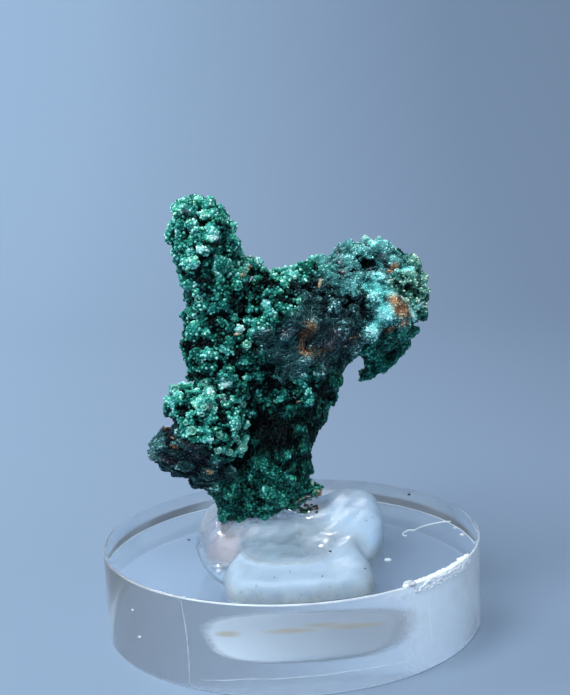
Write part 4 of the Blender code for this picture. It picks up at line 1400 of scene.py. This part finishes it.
def acrylic_material():
    """Clear acrylic: scuffed on its turned edges and its underside, hazy on one side of its wall,
    and scraped below the burr on its rim. Its milkiness also paints the bright rim line and the
    reflections on that side and along the back wall: painted highlight and painted reflection."""
    shader = Shader("clear_acrylic")
    fit, noise, times = shader.fit, shader.noise, shader.times
    x, y, z = shader.axes()
    radius = shader.math("SQRT", shader.total(times(x, x), times(y, y)))
    by_wall = fit(radius, BASE_RADIUS - 0.9 * BASE_BEVEL, BASE_RADIUS - 0.6 * BASE_BEVEL)
    from_top = fit(z, BASE_THICKNESS - BASE_BEVEL, BASE_THICKNESS - 0.7 * BASE_BEVEL)
    from_floor = fit(z, BASE_BEVEL, 0.7 * BASE_BEVEL)
    turned = times(by_wall, shader.largest(from_top, from_floor))
    # The turned edges' frost, made weaker to the left so that it paints the bright rim line: real
    # frost and painted highlight.
    frost_and_rim_highlight = times(
        turned, fit(noise(700, 3), 0.3, 0.7, 0.35, 0.75), fit(x, -16.5 * MM, -8.0 * MM, 0.30, 1.0),
    )
    # The milky haze on the wall at the right is partly real and partly a painted reflection.
    uneven_x = shader.total(x, shader.swing(noise(420, 4, 0.7), 2.2 * MM))
    haze_and_reflection = shader.total(
        fit(x, 3.0 * MM, 8.5 * MM, 0.0, WALL_VEIL),
        fit(uneven_x, 8.8 * MM, 10.4 * MM, 0.0, WALL_HAZE - WALL_VEIL),
    )
    haze_and_reflection = times(
        haze_and_reflection, by_wall, fit(y, 2.0 * MM, -5.0 * MM), fit(z, 0.4 * MM, 2.4 * MM, 0.45, 1.0),
        fit(noise(260, 4, 0.6), 0.35, 0.65, 0.78, 1.0),
    )
    ragged_z = shader.total(z, shader.swing(noise(900, 4, 0.7), 1.6 * MM))
    scraped = times(
        by_wall, fit(ragged_z, BASE_THICKNESS - 1.2 * MM, BASE_THICKNESS - 0.5 * MM),
        fit(x, 6.5 * MM, 9.5 * MM), fit(y, -4.0 * MM, -7.0 * MM), 0.75,
    )
    # The back wall is made milky to paint the bright reflection along it: painted reflection.
    painted_back_reflection = times(
        by_wall, fit(y, 4.0 * MM, 11.0 * MM), fit(x, -12.0 * MM, 8.0 * MM, 0.12, 0.235),
    )
    bare = fit(by_wall, 0, 1, 0.01, 0.03)
    milky = shader.largest(frost_and_rim_highlight, haze_and_reflection, scraped, painted_back_reflection, bare)
    clear = shader.less(1.0, milky)
    underside = fit(z, 0.05 * MM, 0.0, 0.0, 0.05)
    shader.set(
        Base_Color=shader.mix(milky, (0.92, 0.965, 1.0), (0.72, 0.87, 1.0)),
        Roughness=shader.total(fit(turned, 0, 1, 0.02, 0.35), underside),
        Normal=shader.bump(noise(300, 2, 0.5), 0.02 * MM, 0.10),
        IOR=1.49,
        Transmission_Weight=clear,
    )
    shader.let_lamps_through(times(clear, 0.93))
    return shader.material


def film_material():
    """The adhesive dot's film, worn at its edge and stained."""
    shader = Shader("adhesive_film")
    x, y, _ = shader.axes()
    fray = shader.swing(shader.noise(900, 4, 0.6), 1.0)

    def ways_out(middle_x, middle_y, half_x, half_y):
        """How far out x and y are, as shares of the half sizes."""
        for value, middle, half in ((x, middle_x, half_x), (y, middle_y, half_y)):
            yield shader.math("ABSOLUTE", shader.math("DIVIDE", shader.less(value, middle), half))

    stain = 0.0
    for spot in DOT_STAINS:
        out = [shader.times(side, side) for side in ways_out(*(size * MM for size in spot))]
        out = shader.total(*out, shader.times(fray, 2.0))
        stain = shader.largest(stain, shader.fit(out, 2.4, 0.0, 0.0, 0.8))
    film = shader.mix(shader.fit(x, -6 * MM, 5 * MM), (0.50, 0.62, 0.74), (0.35, 0.465, 0.59))
    out = [shader.math("POWER", side, DOT_SQUARE) for side in ways_out(*DOT_CENTRE, *DOT_HALF)]
    out = shader.total(*out, shader.times(fray, 0.3))
    gone = shader.fit(out, shader.fit(x, 0.0, 6.0 * MM, 0.80, 0.40), 1.15)
    shader.set(
        Base_Color=shader.mix(stain, film, (0.40, 0.36, 0.25)), Roughness=0.6,
        Alpha=shader.less(1.0, gone),
    )
    return shader.material


def scuffed_material():
    shader = Shader("scuffed_acrylic")
    shader.set(
        Base_Color=shader.mix(shader.noise(3000, 3), (0.70, 0.82, 0.94), (0.88, 0.95, 1.0)),
        Roughness=0.45, Normal=shader.bump(shader.noise(5000, 3), 0.04 * MM, 0.5),
    )
    return shader.material


def paper_material():
    shader = Shader("backdrop_paper")
    # Painted shade: the paper darkens towards the right.
    painted_falloff = shader.total(shader.axes()[0], shader.swing(shader.noise(6, 2), 0.01))
    paper = shader.mix(shader.fit(painted_falloff, *PAPER_SHADE_SPAN), PAPER_LEFT, PAPER_RIGHT)
    shader.set(Base_Color=paper, Roughness=0.9)
    return shader.material


# ---- hot glue --------------------------------------------------------------------------------
def flow_heights(x, y):
    """How high each flow stands at those places, in metres: one row for each flow."""
    x, y = x / MM, y / MM
    heights = []
    for flow in GLUE_FLOWS.values():
        middle_x, middle_y, half_x, half_y, turn, top, lean, edge, square, *_ = flow
        angle = math.radians(turn)
        u = (x - middle_x) * math.cos(angle) + (y - middle_y) * math.sin(angle)
        v = (y - middle_y) * math.cos(angle) - (x - middle_x) * math.sin(angle)
        out = (np.abs(u / half_x) ** square + np.abs(v / half_y) ** square) ** (1 / square)
        inset = (1 - out) * min(half_x, half_y)
        share = np.clip(inset / edge, 0, 1)
        heights.append(top * (1 + lean * v / half_y) * MM * np.sqrt(1 - (1 - share) ** 2))
    return np.array(heights)


def glue_height(x, y):
    """How high the glue stands on the base."""
    total = np.zeros_like(x)
    for height in flow_heights(x, y):
        low = np.clip(np.minimum(total, height) / FLOW_BLEND, 0, 1)
        meeting = np.clip(1 - np.abs(total - height) / FLOW_BLEND, 0, 1)
        total = np.maximum(total, height) + FLOW_BLEND / 4 * meeting ** 2 * low
    ripple = 0.05 * np.sin(1.9 * x / MM + 1.1 * y / MM) * np.cos(1.3 * y / MM - 0.7 * x / MM + 1.0)
    ripple += 0.03 * np.sin(3.7 * x / MM - 2.2 * y / MM + 0.5)
    total += ripple * MM * np.clip((total / MM - 0.6) / 0.6, 0, 1)
    to_rim = np.clip((GLUE_RIM - np.hypot(x, y)) / GLUE_RIM_EDGE, 0, 1)
    return total * np.sqrt(1 - (1 - to_rim) ** 2)


def glue_body():
    """The glue as a closed mesh that reaches down into the base."""
    across, along = (np.arange(low, high, GLUE_STEP) for low, high in (GLUE_X, GLUE_Y))
    x, y = np.meshgrid(across, along, indexing="ij")
    height = glue_height(x, y)
    points = np.stack((x, y, BASE_THICKNESS + height), axis=-1).reshape(-1, 3)
    index = np.arange(x.size).reshape(x.shape)
    cells = np.stack((index[:-1, :-1], index[1:, :-1], index[1:, 1:], index[:-1, 1:]), axis=-1)
    wet = height > GLUE_THINNEST
    full = wet[:-1, :-1] & wet[1:, :-1] & wet[1:, 1:] & wet[:-1, 1:]

    bm = bmesh.new()
    bm.from_mesh(mesh_of("flows", points, cells[full]))
    bmesh.ops.delete(bm, geom=[vert for vert in bm.verts if not vert.link_faces], context="VERTS")
    grown_parts = bmesh.ops.extrude_face_region(bm, geom=bm.faces[:])["geom"]
    for element in grown_parts:
        if isinstance(element, bmesh.types.BMVert):
            element.co.z = BASE_THICKNESS - GLUE_DEPTH
    bmesh.ops.recalc_face_normals(bm, faces=bm.faces)
    return fused(mesh_from("flows", bm), GLUE_STEP)


def build_glue():
    mesh = glue_body()
    points, edges = smoothed(points_of(mesh), edges_of(mesh), 8), edges_of(mesh)
    points[:, 2] = np.maximum(points[:, 2], BASE_THICKNESS - CONTACT)
    heights = flow_heights(points[:, 0], points[:, 1])
    weights = np.exp((heights - heights.max(axis=0)) / FLOW_MEETING) * (heights > 0)
    weights /= np.maximum(weights.sum(axis=0), 1e-9)
    lean = smoothed_row(weights[list(GLUE_FLOWS).index("right_lobe")], edges, 12)
    points[:, 0] += lean * RIGHT_LEAN * np.maximum(points[:, 2] - BASE_THICKNESS, 0)
    set_points(mesh, points)
    shade_smooth(mesh)
    flows = np.array(list(GLUE_FLOWS.values()))
    store(mesh, "cloud", flows[:, 9] @ weights)
    store(mesh, "rose", flows[:, 10] @ weights)
    start, full = GLUE_FOOT_SPAN
    low = (BASE_THICKNESS + start - points[:, 2]) / (start - full)
    store(mesh, "low", np.clip(low, 0, 1))
    glue = add_object("hot_glue", mesh, glue_material())
    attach(glue, "root")
    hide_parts("hot_glue_mound")


# ---- acrylic base ----------------------------------------------------------------------------
def build_base():
    bm = bmesh.new()
    bmesh.ops.create_cone(
        bm, cap_ends=True, segments=256, radius1=BASE_RADIUS, radius2=BASE_RADIUS,
        depth=BASE_THICKNESS, matrix=Matrix.Translation((0, 0, BASE_THICKNESS / 2)),
    )
    rims = [edge for edge in bm.edges if abs(edge.verts[0].co.z - edge.verts[1].co.z) < 1e-6]
    bmesh.ops.bevel(bm, geom=rims, offset=BASE_BEVEL, segments=4, profile=0.5, affect="EDGES")
    caps = [face for face in bm.faces if len(face.verts) > 4]
    bmesh.ops.inset_individual(bm, faces=caps, thickness=BASE_BEVEL)  # so that they shade flat
    mesh = mesh_from("acrylic_disc", bm)
    shade_smooth(mesh)
    mesh.set_sharp_from_angle(angle=math.radians(40))
    base = add_object("acrylic_disc", mesh, acrylic_material())
    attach(base, "root")
    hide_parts("acrylic_base")


def build_dot():
    """The thin adhesive dot that shows through the base's wall."""
    bm = bmesh.new()
    bmesh.ops.create_circle(bm, cap_ends=True, segments=128, radius=1)
    for vert in bm.verts:
        angle = math.atan2(vert.co.y, vert.co.x)
        blunt = abs(math.cos(angle)) ** DOT_SQUARE + abs(math.sin(angle)) ** DOT_SQUARE
        vert.co *= 1.08 * blunt ** (-1 / DOT_SQUARE)
        vert.co.x = vert.co.x * DOT_HALF[0] + DOT_CENTRE[0]
        vert.co.y = vert.co.y * DOT_HALF[1] + DOT_CENTRE[1]
        vert.co.z = DOT_HEIGHT
    bmesh.ops.triangulate(bm, faces=bm.faces)
    dot = add_object("adhesive_dot", mesh_from("adhesive_dot", bm), film_material())
    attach(dot, "root")
    dot.visible_shadow = False


# ---- marks and specks on the base ------------------------------------------------------------
def burr_mesh():
    """The saw's burr on the rim and on the wall just below it."""
    rng = random.Random(BURR_SEED)
    balls = []
    for _ in range(BURR_LUMPS):
        angle = math.radians(rng.uniform(*BURR_SPAN))
        radius = rng.uniform(0.05, 0.16) * MM
        if rng.random() < BURR_ON_TOP:
            reach = BASE_RADIUS - radius * rng.uniform(0.9, 3.4)
            height = BASE_THICKNESS
        else:
            radius *= 0.70
            reach = BASE_RADIUS - radius * 0.25
            height = BASE_THICKNESS - rng.uniform(0.1, 0.85) * MM
        place = Vector((reach * math.cos(angle), reach * math.sin(angle), height))
        balls.append((place, np.diag((radius * 1.4, radius * 1.4, radius * 0.8))))
    for turn, radius in BURR_BLOBS:
        angle, radius = math.radians(turn), radius * MM
        place = Vector((math.cos(angle), math.sin(angle), 0)) * (BASE_RADIUS - radius * 1.1)
        place.z = BASE_THICKNESS
        balls.append((place, np.diag((radius * 1.5, radius * 1.2, radius * 0.6))))
    burr = fused(joined("burr", (balls_of(balls, BALL_DETAIL),)), BURR_VOXEL)
    shade_smooth(burr)
    return burr


def tube_mesh(name, path, outward, radius, taper=1.0):
    """One tube along the path, its ends that share of its radius thick."""
    thick = np.full(len(path), radius)
    thick[[0, -1]] *= taper
    return mesh_of(name, *tubes(path[None], outward[None], thick))


def fibre_mesh():
    """The stray fibre on the base's top."""
    path = np.array([(x * MM, y * MM, BASE_THICKNESS + FIBRE_RADIUS) for x, y in FIBRE])
    places = np.arange(len(path))
    steps = np.linspace(0, len(path) - 1, 4 * len(path))
    path = np.stack([np.interp(steps, places, column) for column in path.T], axis=1)
    first = np.arange(len(path) - 1)
    path = smoothed(path, np.stack((first, first + 1), axis=1), 4)
    return tube_mesh("fibre", path, np.tile(UP, (len(path), 1)), FIBRE_RADIUS)


def wall_mark(name):
    width, places = WALL_MARKS[name]
    ways = np.radians([turn for turn, _ in places])
    outward = np.stack((np.cos(ways), np.sin(ways), ways * 0), axis=1)
    path = outward * BASE_RADIUS + UP * np.array([[height * MM] for _, height in places])
    return tube_mesh(name, path, outward, width * MM, taper=0.3)


def speck_mesh():
    items = []
    for x, y, z, half, colour in SPECKS:
        if z is None:  # it lies on the glue
            z = (BASE_THICKNESS + float(glue_height(np.array(x * MM), np.array(y * MM)))) / MM
        size = half * MM
        items.append((Vector((x, y, z)) * MM, np.diag((size * 1.3, size, size * 0.7)), colour))
    return flecks("specks", items)


def build_base_details():
    scuffed = scuffed_material()
    pieces = [("rim_burr", burr_mesh(), scuffed), ("stray_fibre", fibre_mesh(), scuffed)]
    pieces += [(name, wall_mark(name), scuffed) for name in WALL_MARKS]
    pieces.append(("specks", speck_mesh(), chip_material()))
    for name, mesh, material in pieces:
        piece = add_object(name, mesh, material)
        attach(piece, "root")


# ---- stage -----------------------------------------------------------------------------------
def build_stage():
    """A floor that curves up into a backdrop, with no line between them."""
    profile = [(PAPER_FRONT, 0.0), (PAPER_BACK, 0.0)]
    for i in range(1, 25):
        angle = math.radians(90 * i / 24)
        rise = PAPER_BEND * (1 - math.cos(angle))
        profile.append((PAPER_BACK + PAPER_BEND * math.sin(angle), rise))
    profile.append((PAPER_BACK + PAPER_BEND, PAPER_TOP))
    bm = bmesh.new()
    sides = [
        [bm.verts.new((x, y, z - 0.05 * MM)) for y, z in profile]
        for x in (-PAPER_HALF_WIDTH, PAPER_HALF_WIDTH)
    ]
    for (left, right), (next_left, next_right) in pairwise(zip(*sides)):
        bm.faces.new((left, right, next_right, next_left))
    mesh = mesh_from("backdrop", bm)
    shade_smooth(mesh)
    backdrop = add_object("backdrop", mesh, paper_material())
    backdrop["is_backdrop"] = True


def build_lights():
    world = bpy.data.worlds.new("room")
    bpy.context.scene.world = world
    world.use_nodes = True
    room = world.node_tree.nodes["Background"]
    room.inputs["Color"].default_value = (*ROOM_COLOUR, 1.0)
    # Clear and glossy pieces see a brighter room than the one that fills the shadows.
    rays = world.node_tree.nodes.new("ShaderNodeLightPath")
    strength = world.node_tree.nodes.new("ShaderNodeMapRange")
    strength.inputs["To Min"].default_value = ROOM_SEEN
    strength.inputs["To Max"].default_value = ROOM_STRENGTH
    world.node_tree.links.new(rays.outputs["Is Diffuse Ray"], strength.inputs["Value"])
    world.node_tree.links.new(strength.outputs["Result"], room.inputs["Strength"])
    for name, (place, target, width, height, power, glint) in LAMPS.items():
        data = bpy.data.lights.new(name, "AREA")
        data.shape = "RECTANGLE"
        data.size, data.size_y = width, height
        data.energy = power
        lamp = add_object(name, data)
        lamp.location = place
        lamp.rotation_euler = (Vector(target) - Vector(place)).to_track_quat("-Z", "Y").to_euler()
        lamp.visible_transmission = False  # the clear pieces let its light straight through
        lamp.visible_camera = False
        lamp.visible_glossy = glint
        lamp.visible_diffuse = not glint


def write_sizes(before, after):
    boxes = {"cad": before, "visual": after}
    text = {name: [list(corner) for corner in box] for name, box in boxes.items()}


bpy.context.scene.view_settings.view_transform = "Standard"
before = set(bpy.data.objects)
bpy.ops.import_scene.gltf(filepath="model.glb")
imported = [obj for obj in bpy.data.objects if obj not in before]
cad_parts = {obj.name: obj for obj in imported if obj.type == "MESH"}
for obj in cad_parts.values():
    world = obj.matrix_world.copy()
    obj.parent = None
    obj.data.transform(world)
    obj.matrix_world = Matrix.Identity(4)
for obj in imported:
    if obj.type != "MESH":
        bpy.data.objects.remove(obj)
cad_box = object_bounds()
build_camera()
build_stage()
build_lights()
build_base()
build_dot()
build_base_details()
build_glue()
build_stone()
write_sizes(cad_box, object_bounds())
